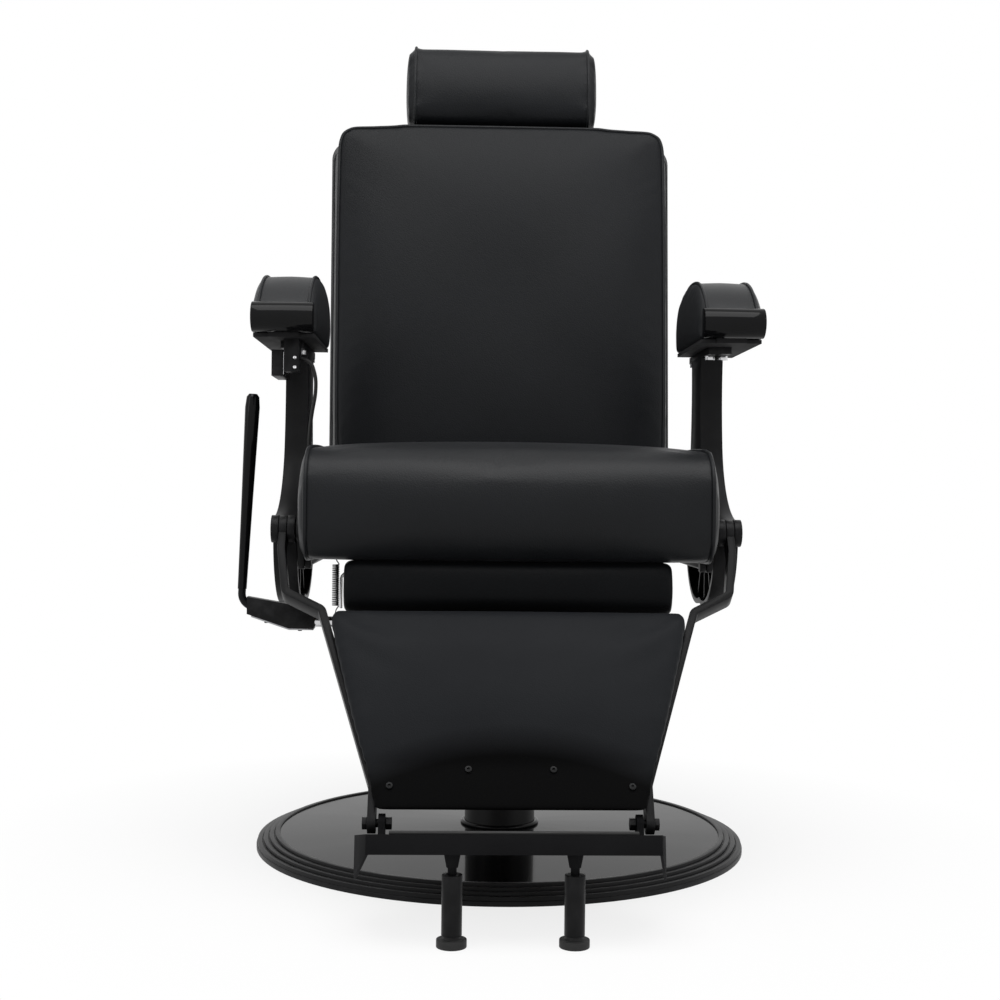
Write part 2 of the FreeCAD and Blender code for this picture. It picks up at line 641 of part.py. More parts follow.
def cross_member(name):
    """A box tube across the frame, closed at its ends, where the side castings are bolted on."""
    corner = ("-casting_inner", f"{name} - cross_width / 2", RAIL_TOP)
    whole = box(("2 * casting_inner", "cross_width", "cross_height"), corner)
    hollow = box(("2 * (casting_inner - cross_end)", "cross_width - 2 * cross_wall",
                  "cross_height - 2 * cross_wall"),
                 ("-casting_inner + cross_end", f"{name} - cross_width / 2 + cross_wall",
                  f"{RAIL_TOP} + cross_wall"))
    holes = [rod("bolt_radius + fit_gap", "cross_end",
                 (side_span(side, "casting_inner - cross_end", "cross_end"),
                                                         name, f"{RAIL_TOP} + cross_height / 2"), "X")
             for label, side in SIDES]
    return cut(whole, hollow, *holes)


# Seat cushion and apron
def seat_section(x, inset, crown):
    """The side outline of the seat: a flat cushion with a full roll at its front."""
    front = -dim("seat_front") + inset
    back = dim("seat_back") - inset / 2
    step = -dim("seat_front") + dim("roll_depth")
    low = dim("roll_bottom") + inset * 0.6
    top = seat_bottom + dim("seat_thick") - inset
    big = dim("roll_radius")
    small = big * 0.72
    edge = big * 0.4
    bulge = 1 - math.sqrt(0.5)

    def at(y, z):
        return Vector(x, y, z)

    return wire(
        at(back, seat_bottom),
        (at(step, seat_bottom),),
        (at(step, low + edge * 0.5),),
        (at(step - edge * 0.5 * bulge, low + edge * 0.5 * bulge), at(step - edge * 0.5, low)),
        (at(front + small, low),),
        (at(front + small * bulge, low + small * bulge), at(front, low + small)),
        (at(front, top - big),),
        (at(front + big * bulge, top - big * bulge), at(front + big, top)),
        (at((front + big + back - edge) / 2, top + crown), at(back - edge, top)),
        (at(back - edge * bulge, top - edge * bulge), at(back, top - edge)),
        (at(back, seat_bottom),))


def mirrored_sections(half_width, stations, section):
    """Sections across the width: stations are (share of the half width, inset, crown) from the middle out."""
    both = [(-share, inset, crown) for share, inset, crown in reversed(stations[1:])] + list(stations)
    return [section(half_width * share, inset, crown) for share, inset, crown in both]


def make_seat():
    crown = dim("seat_crown")
    half = dim("seat_width") / 2
    shoulder = 1 - dim("seat_end") / half
    stations = ((0, 0, crown), (0.6, 0.5, crown * 0.8), (shoulder, 2.5, crown * 0.5),
                (1, dim("seat_drawn_in"), crown * 0.3))
    shaped("seat_cushion", Part.makeLoft(mirrored_sections(half, stations, seat_section), True, True))

    board_front = "-rail_front - apron_board"
    node("apron_board",
         box(("apron_width - bolt_head * 2", "apron_board", "roll_bottom - apron_bottom - bolt_radius"),
                            ("-apron_width / 2 + bolt_head", board_front,
                             "apron_bottom + bolt_radius / 2")))

    def apron_section(x, inset, crown):
        back = -dim("rail_front") - dim("apron_board") - dim("fit_gap")
        front = back - dim("apron_thick") + crown + inset
        low = dim("apron_bottom") + inset
        high = dim("roll_bottom") - 1 - inset

        def at(y, z):
            return Vector(x, y, z)

        rim = front + crown * 1.5
        return wire(at(back, low), (at(rim, low),), (at(front - crown, (low + high) / 2), at(rim, high)),
                    (at(back, high),), (at(back, low),))

    half = dim("apron_width") / 2
    stations = ((0, 0, 6), (0.9, 0.5, 5.5), (0.97, 2, 5), (1, 6, 4))
    shaped("apron_pad", Part.makeLoft(mirrored_sections(half, stations, apron_section), True, True))


# Side castings with their posts, ribs and leg hinges
def make_castings():
    inner = dim("casting_inner")
    width = dim("casting_width")
    wall = dim("casting_wall")
    hinge = Vector(inner, -dim("leg_axis_front"), dim("leg_axis_height"))
    along = Vector(1, 0, 0)

    def at(y, z):
        return Vector(inner, y, z)

    front = -dim("post_front")
    back = dim("post_back")
    top = dim("casting_top")
    low = dim("lobe_bottom")
    lobe_front = -dim("lobe_front")
    lobe_back = dim("lobe_back")
    middle = (lobe_front + lobe_back) / 2
    shoulder = hinge.z + dim("barrel_radius") - 3
    waist = top - dim("post_waist")
    outline = wire(
        at(front, top), (at(back, top),), (at(back - 4, (top + waist) / 2), at(back, waist)),
        (at(back + 10, (waist + hinge.z) / 2), at(lobe_back, hinge.z - 20)),
        (at(lobe_back - 33, low + 21), at(middle, low)),
        (at(lobe_front + 32, low + 22), at(lobe_front, hinge.z - 15)),
        (at(lobe_front, shoulder),), (at(front - 42, shoulder + 34), at(front - 2, waist)),
        (at(front + 4, (top + waist) / 2), at(front, top)))
    solid = Part.Face(outline).extrude(along * width)
    barrel = Part.makeCylinder(dim("barrel_radius"), width, hinge, along)
    flange = Part.makeBox(width, dim("flange_front") + dim("flange_back"), dim("arm_flange"),
                          Vector(inner, -dim("flange_front"), top - dim("arm_flange")))

    depth = width - wall
    inside = Part.Face(outline.makeOffset2D(-wall)).extrude(along * depth)
    lower = Part.makeBox(depth, lobe_back - lobe_front, dim("hollow_top") - low, at(lobe_front, low))
    hollow = inside.common(lower)
    rib_length = dim("leg_axis_front")
    rib_centre = at(middle, hinge.z)
    for angle in (-150, -120, -90, -60, -30):
        rib = Part.makeBox(depth - wall, rib_length, dim("rib_thick"),
                           rib_centre + Vector(wall, 0, -dim("rib_thick") / 2))
        rib.rotate(rib_centre, along, angle)
        hollow = hollow.cut(rib)
    boss_height = dim("cross_height") + wall
    for y in (dim("cross_front"), dim("cross_back")):
        boss = Part.makeBox(depth, dim("cross_width"), boss_height,
                            at(y - dim("cross_width") / 2,
                               rail_top + dim("cross_height") / 2 - boss_height / 2))
        hollow = hollow.cut(boss)

    slot_gap = 1
    slot_start = dim("hanger_top") - dim("hanger_thick") / 2 - slot_gap
    barrel_room = dim("barrel_radius") + slot_gap
    slot = Part.makeBox(dim("hanger_thick") + 2 * slot_gap, 2 * barrel_room, 2 * barrel_room,
                        Vector(slot_start, hinge.y - barrel_room, hinge.z - barrel_room))
    pin_hole = Part.makeCylinder(dim("pin_radius") + dim("running_gap"), width - 2, hinge, along)
    casting = solid.fuse([barrel, flange]).cut([hollow, slot, pin_hole])
    holes = []
    for y in (dim("cross_front"), dim("cross_back")):
        holes.append(Part.makeCylinder(dim("bolt_radius") + dim("fit_gap"), width,
                                       at(y, rail_top + dim("cross_height") / 2), along))
    for across in (-1.3, 1.3):
        for y in (-(dim("post_front") + dim("flange_front")) / 2,
                  (dim("post_back") + dim("flange_back")) / 2):
            start = Vector(inner + width / 2 + across * dim("bolt_head"), y, top - dim("arm_flange"))
            holes.append(Part.makeCylinder(dim("bolt_radius") + dim("fit_gap"), dim("arm_flange"), start))
    casting = casting.cut(holes).removeSplitter()
    shaped("left_casting", casting)
    shaped("right_casting", mirrored(casting))


# Arm rests
def make_arms():
    arm_bottom = "(casting_top + arm_plate)"
    tab_top = "(nose_height + nose_radius * 0.8)"
    plates = []
    noses = []
    for name, side in SIDES:
        start = side_span(side, "nose_inner", "nose_length")
        flat = box(("nose_length", "arm_front + arm_back - bolt_head * 2", "arm_plate"),
                   (start, "-arm_front", "casting_top"))
        tab = box(("nose_length / 2", "bolt_radius", f"{tab_top} - casting_top"),
                  (f"{start} + nose_length / 4", "-arm_front - bolt_radius", "casting_top"))
        holes = [rod("bolt_radius + fit_gap", "arm_plate", (x, y, "casting_top")) for x,
                 y in arm_bolt_places()]
        plates.append(cut(fuse(flat, tab), *holes))
        bar = rod("nose_radius", "nose_length", (start, "-nose_place", "nose_height"), "X")
        trim = box(("nose_length", "nose_radius * 2", "nose_radius * 2"),
                   (start, "-arm_front - bolt_radius - fit_gap", "nose_height - nose_radius"))
        noses.append(cut(bar, trim))
    node("arm_plates", group(*plates))
    node("arm_noses", group(*noses))

    bottom = dim("casting_top") + dim("arm_plate") + dim("fit_gap")
    crown_height = bottom + dim("arm_crown")
    middle = dim("arm_inner") + dim("arm_width") / 2

    def arm_section(x, inset, crown):
        front = -dim("arm_front") + dim("fit_gap") + inset
        back = dim("arm_back") - inset
        high = crown_height - inset + crown
        shoulder = bottom + dim("arm_shoulder") - inset

        def at(y, z):
            return Vector(middle + x, y, z)

        return wire(
            at(back, bottom), (at(front, bottom),), (at(front, shoulder),),
            (at(front + 45, shoulder + 36), at(front + 100, high)),
            (at(front + 150, high + 1), at(back - 30, high - 8)),
            (at(back - 6, high - 24), at(back, high - 50)), (at(back, bottom),))

    stations = ((0, 0, 0), (0.6, 0.4, -0.8), (0.86, 1.5, -1.5), (1, dim("arm_drawn_in"), -3))
    pad = Part.makeLoft(mirrored_sections(dim("arm_width") / 2, stations, arm_section), True, True)
    shaped("left_arm_pad", pad)
    shaped("right_arm_pad", mirrored(pad))


# Recline release: bracket, paddle and cable
def make_release():
    bracket_inner = "(casting_inner + bolt_radius / 2)"
    bracket_width = "(casting_width * 0.65)"
    start = side_span(-1, bracket_inner, bracket_width)
    block = box((bracket_width, "rail_width", "casting_top - paddle_height + bolt_head * 1.7"),
                (start, "-paddle_place - rail_width / 2", "paddle_height - bolt_head * 1.7"))
    bore = rod("paddle_pin + running_gap", bracket_width, (start, "-paddle_place", "paddle_height"), "X")
    node("release_bracket", cut(block, bore))
    outer = f"({bracket_inner} + {bracket_width} + fit_gap * 3)"
    left = side_span(-1, outer, "paddle_width")
    cheek = box(("paddle_width", "rail_width * 0.75", "bolt_head * 5"),
                (left, "-paddle_place - rail_width * 0.375", "paddle_height - bolt_head * 2.5"))
    blade = box(("paddle_width", "paddle_length", "paddle_thick"),
                (left, "-paddle_place", "paddle_height - bolt_head * 2.5"))
    curl = rod("paddle_thick", "paddle_width",
               (left, "-paddle_place + paddle_length", "paddle_height - bolt_head * 2.5 + paddle_thick"),
               "X")
    pin = rod("paddle_pin", f"{bracket_width} + fit_gap * 3",
              (f"{start} - fit_gap * 3", "-paddle_place", "paddle_height"), "X")
    node("release_paddle", fuse(cheek, blade, curl, pin))

    # The cable leaves the bracket towards the sitter, loops down inside the post and runs under the seat.
    inner = -dim("casting_inner") - dim("bolt_radius") / 2
    level = dim("paddle_height")
    rail = -dim("rail_place")
    points = [
        Vector(inner + 0.8, -132, level + 8), Vector(inner + 15, -131, level + 2),
        Vector(inner + 21, -127, level - 18), Vector(inner + 20, -119, level - 40),
        Vector(inner + 14, -108, level - 66), Vector(inner + 9, -92, level - 98),
        Vector(inner + 8.5, -74, level - 138), Vector(inner + 8.5, -57, level - 182),
        Vector(inner + 10, -44, level - 220), Vector(inner + 22, -37, level - 245),
        Vector(inner + 49, -34, level - 254.5), Vector(inner + 100, -34, level - 256),
        Vector(rail - 24, -40, level - 255.5), Vector(rail + 26, -54, level - 257),
        Vector(rail + 57, -66, level - 264),
        Vector(-1.5 * dim("cylinder_radius") - 1.4, -78, level - 271)]
    path, radii = route(points)
    cable = round_tube(path, dim("cable_radius"), points[0], points[1] - points[0])
    print("release cable: radii", radii)
    print("release cable: length", round(path.Length), "volume", round(cable.Volume), "of",
          round(math.pi * dim("cable_radius") ** 2 * path.Length))
    shaped("release_cable", cable)


# Recline shaft, cranks, links and the lockable cylinder
def make_linkage():
    shaft_half = "(crank_inner + crank_thick + fit_gap)"
    shaft = rod("recline_shaft_radius", f"2 * {shaft_half}",
                (f"-{shaft_half}", "back_axis", "leg_axis_height"), "X")
    lug_y = "back_axis + lug_length * sin(lug_angle)"
    lug_z = "leg_axis_height - lug_length * cos(lug_angle)"
    tip = rod("crank_pin + lug_clearance + bolt_head", "lug_thick", ("-lug_thick / 2", lug_y, lug_z), "X")
    hub = rod("recline_shaft_radius + bolt_head", "lug_thick",
              ("-lug_thick / 2", "back_axis", "leg_axis_height"), "X")
    hole = rod("crank_pin + lug_clearance", "lug_thick", ("-lug_thick / 2", lug_y, lug_z), "X")
    arm = plate([("bolt_head + bolt_radius", "0"), ("bolt_head + bolt_radius", "-lug_length"),
                 ("-bolt_head - bolt_radius", "-lug_length"), ("-bolt_head - bolt_radius", "0")],
                "lug_thick", "YZ_Plane")
    turn_piece(arm, "back_axis", "leg_axis_height", "lug_angle")
    node("recline_shaft", cut(fuse(shaft, hub, tip, arm), hole))

    back_cranks = []
    leg_cranks = []
    for name, side in SIDES:
        for rear, y in ((True, "back_axis"), (False, "-leg_axis_front")):
            crank, pin = crank_pieces(side, y)
            if rear:
                hole = rod("recline_shaft_radius + running_gap", "crank_thick",
                           (side_span(side, "crank_inner", "crank_thick"), y, "leg_axis_height"), "X")
                back_cranks.append(cut(fuse(crank, pin), hole))
            else:
                length = "casting_inner + casting_width - crank_inner - 3"
                pivot = rod("pin_radius", length,
                            (side_span(side, "crank_inner", length), y, "leg_axis_height"), "X")
                leg_cranks.append(fuse(crank, pin, pivot))
    node("back_cranks", group(*back_cranks))
    node("leg_cranks", group(*leg_cranks))

    links = []
    link_inner = "(crank_inner - fit_gap * 3 - link_thick)"
    crank_y = "crank_length * sin(crank_angle)"
    crank_z = "leg_axis_height - crank_length * cos(crank_angle)"
    for name, side in SIDES:
        left = side_span(side, link_inner, "link_thick")
        strip = box(("link_thick", "leg_axis_front + back_axis", "link_height"),
                    (left, f"-leg_axis_front + {crank_y}", f"{crank_z} - link_height / 2"))
        ends = [rod("link_eye", "link_thick", (left, f"{y} + {crank_y}", crank_z), "X")
                for y in ("-leg_axis_front", "back_axis")]
        front_hole = rod("crank_pin + running_gap", "link_thick",
                         (left, f"-leg_axis_front + {crank_y}", crank_z), "X")
        rear_hole = rod("crank_pin + open_gap", "link_thick", (left, f"back_axis + {crank_y}", crank_z),
                        "X")
        links.append(cut(fuse(strip, *ends), front_hole, rear_hole))
    node("recline_links", group(*links))

    barrel = rod("cylinder_radius", "cylinder_front + cylinder_back",
                 ("0", "-cylinder_front", CYLINDER_HEIGHT), "Y")
    bore = rod("rod_radius + running_gap", "cylinder_front + cylinder_back - bolt_head",
               ("0", "-cylinder_front + bolt_head", CYLINDER_HEIGHT), "Y")
    node("recline_cylinder", cut(barrel, bore))
    pin_y = "(back_axis + lug_length * sin(lug_angle))"
    stem_start = "(cylinder_back - lug_length)"
    fork_front = f"({pin_y} - cylinder_radius * 1.6)"
    stem = rod("rod_radius", f"{fork_front} - {stem_start} + bolt_radius",
               ("0", stem_start, CYLINDER_HEIGHT), "Y")
    fork = box(("cylinder_radius * 2", "cylinder_radius * 2.4", "cylinder_radius * 1.6"),
               ("-cylinder_radius", fork_front, f"{CYLINDER_HEIGHT} - cylinder_radius * 0.8"))
    gap = box(("lug_thick + fit_gap * 4", "cylinder_radius * 2.4", "cylinder_radius * 1.6"),
              ("-lug_thick / 2 - fit_gap * 2", f"{fork_front} + bolt_radius",
               f"{CYLINDER_HEIGHT} - cylinder_radius * 0.8"))
    pin = rod("crank_pin", "cylinder_radius * 2", ("-cylinder_radius", pin_y, CYLINDER_HEIGHT), "X")
    node("cylinder_rod", fuse(stem, cut(fork, gap), pin))


def turn_piece(thing, y, z, angle):
    """Hang a piece drawn below the origin at a pivot, swung to the rear by an angle."""
    thing.Placement = FreeCAD.Placement(Vector(), FreeCAD.Rotation(Vector(1, 0, 0), 10))
    place(thing, "0", y, z)
    thing.setExpression("Placement.Rotation.Angle", formula(angle))


def crank_pieces(side, y):
    """One crank plate between its pivot and its pin, and the pin that the link turns on."""
    left = side_span(side, "crank_inner", "crank_thick")
    tip_y = f"{y} + crank_length * sin(crank_angle)"
    tip_z = "leg_axis_height - crank_length * cos(crank_angle)"
    big = rod("recline_shaft_radius + bolt_head", "crank_thick", (left, y, "leg_axis_height"), "X")
    small = rod("crank_pin + bolt_radius", "crank_thick", (left, tip_y, tip_z), "X")
    strip = plate([("crank_pin + bolt_radius", "0"), ("crank_pin + bolt_radius", "-crank_length"),
                   ("-crank_pin - bolt_radius", "-crank_length"), ("-crank_pin - bolt_radius", "0")],
                  "crank_thick", "YZ_Plane")
    turn_piece(strip, y, "leg_axis_height", "crank_angle")
    strip.setExpression("Placement.Base.x", formula(f"{side} * (crank_inner + crank_thick / 2)"))
    length = "link_thick + crank_thick + fit_gap * 3"
    pin = rod("crank_pin", length,
              (side_span(side, f"crank_inner + crank_thick - ({length})", length), tip_y, tip_z), "X")
    return fuse(big, small, strip), pin


# Back rest and head rest, drawn upright about the recline shaft
def widening(x, z):
    """How far a point of the back moves outwards because the back grows wider towards its top."""
    share = (z - dim("back_bottom")) / (dim("back_top") - dim("back_bottom"))
    return dim("back_taper") * share * x / (dim("back_width") / 2)


def back_shell():
    """The tray behind the back: rounded top corners and rear edges, open to the front and at the bottom."""
    width = dim("shell_width")
    wall = dim("shell_wall")
    front = -dim("back_front") + dim("back_pad") + dim("fit_gap")
    low = dim("back_bottom")
    height = dim("back_top") - low
    depth = dim("shell_back") - front
    corner = dim("shell_corner")

    def rounded_block(inset, y, block_depth, bottom):
        top = low + height - inset
        corners = []
        for x, z in ((-1, bottom), (1, bottom), (1, top), (-1, top)):
            edge = x * (width / 2 - inset)
            corners.append(Vector(edge + widening(edge, z), y, z))
        block = Part.Face(Part.makePolygon(corners + corners[:1])).extrude(Vector(0, block_depth, 0))
        across = [edge for edge in block.Edges if abs(edge.tangentAt(edge.FirstParameter).y) > 0.9]
        upper = [edge for edge in across if edge.CenterOfMass.z > low + height / 2]
        return block.makeFillet(corner - inset, upper)

    outer = rounded_block(0, front, depth, low)
    rear = [edge for edge in outer.Edges if edge.BoundBox.YMin > dim("shell_back") - 0.1]
    outer = outer.makeFillet(wall, [edge for edge in rear if edge.CenterOfMass.z > low + 1])
    cavity = rounded_block(wall, front - wall, depth, low - wall)
    post_y = -dim("back_front") + dim("back_pad") + dim("back_board") + dim("sleeve_radius")
    holes = [Part.makeCylinder(dim("head_post") + 3 * dim("fit_gap"), 2 * wall,
                               Vector(side * dim("head_post_place"), post_y, dim("back_top") - 1.5 * wall))
             for name, side in SIDES]
    return outer.cut([cavity] + holes)


def make_back():
    board_back = "(-back_front + back_pad + back_board)"
    bars = []
    for name, side in SIDES:
        left = f"{side} * back_arm_place - back_arm_width / 2"
        bar = box(("back_arm_width", "back_arm_thick", "back_arm_top"), (left, "-back_arm_thick / 2", "0"))
        hub = rod("recline_shaft_radius + bolt_head", "back_arm_width", (left, "0", "0"), "X")
        bore = rod("recline_shaft_radius + running_gap", "back_arm_width", (left, "0", "0"), "X")
        bars.append(cut(fuse(bar, hub), bore))
    node("back_arms", lean(group(*bars), "back"))
    board = box(("shell_width - 2 * shell_wall - bolt_head * 4", "back_board",
                 "back_top - back_bottom - bolt_head * 3"),
                ("-(shell_width - 2 * shell_wall - bolt_head * 4) / 2", "-back_front + back_pad",
                 "back_bottom + bolt_head"))
    node("back_board", lean(group(board), "back"))
    post_y = f"{board_back} + sleeve_radius"
    sleeves = []
    sleeve_top = "(back_top - shell_wall - fit_gap)"
    for name, side in SIDES:
        tube = rod("sleeve_radius", "sleeve_length",
                   (f"{side} * head_post_place", post_y, f"{sleeve_top} - sleeve_length"))
        bore = rod("head_post + running_gap", "sleeve_length",
                   (f"{side} * head_post_place", post_y, f"{sleeve_top} - sleeve_length"))
        sleeves.append(cut(tube, bore))
    node("headrest_sleeves", lean(group(*sleeves), "back"))

    def back_section(x, inset, crown):
        rear = -dim("back_front") + dim("back_pad") - dim("fit_gap")
        front = -dim("back_front") + inset
        drop = min(inset, dim("back_corner"))
        low = dim("back_bottom") + drop * 0.8
        high = dim("back_top") - drop * 1.4
        middle = (low + high) / 2
        rim = 16

        def at(y, z):
            return Vector(x + widening(x, z), y, z)

        return wire(
            at(rear, low), (at(front + rim, low),),
                    (at(front + rim * 0.3, low + rim * 0.3), at(front, low + rim)),
            (at(front - crown, middle), at(front, high - rim)),
            (at(front + rim * 0.3, high - rim * 0.3), at(front + rim, high)), (at(rear, high),),
                    (at(rear, low),))

    shaped("back_shell", back_shell(), "back")
    crown = dim("back_crown")
    stations = ((0, 0, crown), (0.6, 0.6, crown * 0.9), (0.88, 3, crown * 0.6), (0.94, 8, crown * 0.4),
                (0.97, 24, 3), (1, 46, 1))
    cushion = Part.makeLoft(mirrored_sections(dim("back_width") / 2, stations, back_section), True, True)
    shaped("back_cushion", cushion, "back")

    bar_bottom = "(back_top + head_gap)"
    bar = box(("head_post_place * 2 + sleeve_radius * 4", "sleeve_radius * 3", "head_bar"),
              ("-head_post_place - sleeve_radius * 2", f"{post_y} - sleeve_radius * 1.5", bar_bottom))
    posts = [rod("head_post", "head_post_depth",
                 (f"{side} * head_post_place", post_y, f"{bar_bottom} - head_post_depth"))
             for name, side in SIDES]
    node("headrest_posts", lean(fuse(bar, *posts), "back"))

    def head_section(x, inset, crown):
        low = dim("back_top") + dim("head_gap") + dim("head_bar") + dim("fit_gap") + inset * 0.7
        high = low + dim("head_height") - inset * 1.4
        front = -dim("head_front") + inset * 0.6
        rear = dim("head_back") - inset * 0.6
        round_off = dim("head_height") * 0.25

        def at(y, z):
            return Vector(x, y, z)

        return wire(
            at(rear, low), (at(front + round_off, low),),
            (at(front + round_off * 0.25, low + round_off * 0.25), at(front, low + round_off)),
            (at(front - crown, (low + high) / 2), at(front, high - round_off)),
            (at(front + round_off * 0.25, high - round_off * 0.25), at(front + round_off, high)),
            (at(rear - round_off, high),),
                    (at(rear - round_off * 0.25, high - round_off * 0.25), at(rear, high - round_off)),
            (at(rear, low),))

    stations = ((0, 0, 5), (0.6, 0.2, 5), (0.9, 1, 4), (1, 11, 2))
    pillow = Part.makeLoft(mirrored_sections(dim("head_width") / 2, stations, head_section), True, True)
    shaped("headrest_cushion", pillow, "back")


# Leg rest, drawn upright below its hinge
def make_leg_rest():
    thick = dim("hanger_thick")
    depth = dim("hanger_depth")
    top = Vector(dim("hanger_top"), 0, 0)
    bends = (("hanger_top", "eye_drop"), ("hanger_knee", "knee_drop"), ("hanger_inner", "bend_drop"),
             ("hanger_foot", "ankle_drop"), ("hanger_foot", "leg_length"))
    points = [top] + [Vector(dim(x), 0, -dim(drop)) for x, drop in bends]
    path, radii = route(points, radius=thick)
    heading = (points[1] - top).normalize()
    across = Vector(-heading.z, 0, heading.x) * (thick / 2)
    front = Vector(0, depth / 2, 0)
    ring = [top - across - front, top + across - front, top + across + front, top - across + front]
    strap = path.makePipeShell([Part.makePolygon(ring + ring[:1])], True, False)
    along = Vector(1, 0, 0)
    eye = Part.makeCylinder(dim("barrel_radius") - 0.5, thick, top - along * (thick / 2), along)
    pin_hole = Part.makeCylinder(dim("pin_radius") + dim("running_gap"), thick * 2, top - along * thick,
                                 along)
    foot = Vector(dim("hanger_foot"), 0, -dim("leg_length"))
    end = Part.makeCylinder(depth / 2, thick, foot - along * (thick / 2), along)
    bolt_hole = Part.makeCylinder(dim("foot_bolt") + dim("running_gap"), thick * 2, foot - along * thick,
                                  along)
    hanger = strap.fuse([eye, end]).cut([pin_hole, bolt_hole]).removeSplitter()
    shaped("left_hanger", hanger, "leg")
    shaped("right_hanger", mirrored(hanger), "leg")

    slope = "(hanger_inner - hanger_foot) / (ankle_drop - bend_drop)"
    bars = []
    bar_y = "(hanger_depth / 2 - bar_radius + 1)"
    for drop in ("(calf_top + bar_radius * 4)", "(calf_flat + bar_radius)"):
        inset = "hanger_thick / 2 + fit_gap * 2"
        half = f"(hanger_inner - ({drop} + bar_radius - bend_drop) * {slope} - ({inset}))"
        bars.append(rod("bar_radius", f"2 * {half}", (f"-{half}", bar_y, f"-{drop}"), "X"))
    node("leg_crossbars", lean(group(*bars), "leg"))

    board_half = "(calf_top_width / 2 - calf_border)"
    foot_half = "(calf_bottom_width / 2 - calf_border)"
    board_y = "(hanger_depth / 2 - 2 * bar_radius + 1)"
    board = plate([(f"-{board_half}", "-calf_top - bolt_radius"),
                   (f"-{foot_half}", "-calf_bottom + ear_radius * 1.3"),
                   (foot_half, "-calf_bottom + ear_radius * 1.3"), (board_half, "-calf_top - bolt_radius")],
                  "calf_board")
    place(board, "0", f"{board_y} - calf_board / 2")
    holes = [rod("bolt_radius / 2 + fit_gap", "calf_board * 6", (x, f"{board_y} - calf_board * 4", z), "Y")
             for x, z in calf_screw_places()]
    node("calf_board", lean(cut(board, *holes), "leg"))

    front_y = dim("hanger_depth") / 2 - 2 * dim("bar_radius") + 1 - dim("calf_board") - dim("fit_gap")
    length = dim("calf_bottom") - dim("calf_top")

    def calf_section(drop, inset, thick):
        share = (drop - dim("calf_top")) / length
        half = (dim("calf_top_width") * (1 - share) + dim("calf_bottom_width") * share) / 2 - inset
        crown = 0.3 + (thick - dim("calf_hem")) * 0.35

        def at(x, out):
            return Vector(x, front_y - out, -drop)

        return wire(
            at(-half, 0), (at(half, 0),),
                    (at(half + 1.5, (thick - crown) / 2), at(half - 2, thick - crown)),
            (at(0, thick), at(-half + 2, thick - crown)),
                    (at(-half - 1.5, (thick - crown) / 2), at(-half, 0)))

    full = dim("calf_thick")
    hem = dim("calf_hem")
    stations = ((dim("calf_top"), 5, full * 0.5), (dim("calf_top") + 8, 1, full * 0.85),
                (dim("calf_top") + length * 0.2, 0, full), (dim("calf_top") + length * 0.55, 0, full * 0.9),
                (dim("calf_flat") - 14, 0.5, full * 0.55), (dim("calf_flat"), 1, hem),
                (dim("calf_bottom"), 1, hem))
    pad = Part.makeLoft([calf_section(*station) for station in stations], True, True)
    screws = []
    for x, drop in calf_screws():
        start = Vector(x, front_y + dim("fit_gap"), -drop)
        pad = pad.cut(Part.makeCylinder(dim("bolt_radius") / 2 + dim("fit_gap"), full * 2, start,
                                        Vector(0, -1, 0)))
        shank = Part.makeCylinder(dim("bolt_radius") / 2, hem + dim("calf_board") + dim("fit_gap"),
                                  start + Vector(0, dim("calf_board"), 0), Vector(0, -1, 0))
        head = Part.makeCylinder(dim("bolt_radius"), 2, start + Vector(0, -hem - dim("fit_gap"), 0),
                                 Vector(0, -1, 0))
        screws.append(shank.fuse(head).removeSplitter())
    shaped("calf_pad", pad, "leg")
    shaped("calf_screws", Part.makeCompound(screws), "leg")

    bolts = []
    for name, side in SIDES:
        outer = "(hanger_foot + hanger_thick / 2)"
        inner = "(ear_inner - fit_gap * 2)"
        reach = f"({outer} - {inner} + bolt_head)"
        shank = rod("foot_bolt", reach,
                    (side_span(side, f"{inner} - bolt_head", reach), "0", "-leg_length"), "X")
        head = hexagon("foot_bolt * 1.6", "bolt_head_thick",
                       (side_span(side, outer, "bolt_head_thick"), "0", "-leg_length"), "X")
        nut = hexagon("foot_bolt * 1.6", "bolt_head",
                      (side_span(side, f"{inner} - bolt_head", "bolt_head"), "0", "-leg_length"), "X")
        bolts.append(fuse(shank, head, nut))
    node("foot_bolts", lean(group(*bolts), "leg"))


def calf_screws():
    """Two low screws near the corners of the pad and two higher ones further in, as (x, drop)."""
    low = dim("calf_bottom") - dim("screw_low")
    high = dim("calf_bottom") - dim("screw_high")
    far = dim("screw_far")
    near = dim("screw_near")
    return [(-far, low), (-near, high), (near, high), (far, low)]


def calf_screw_places():
    return [(str(x), f"-{drop}") for x, drop in calf_screws()]


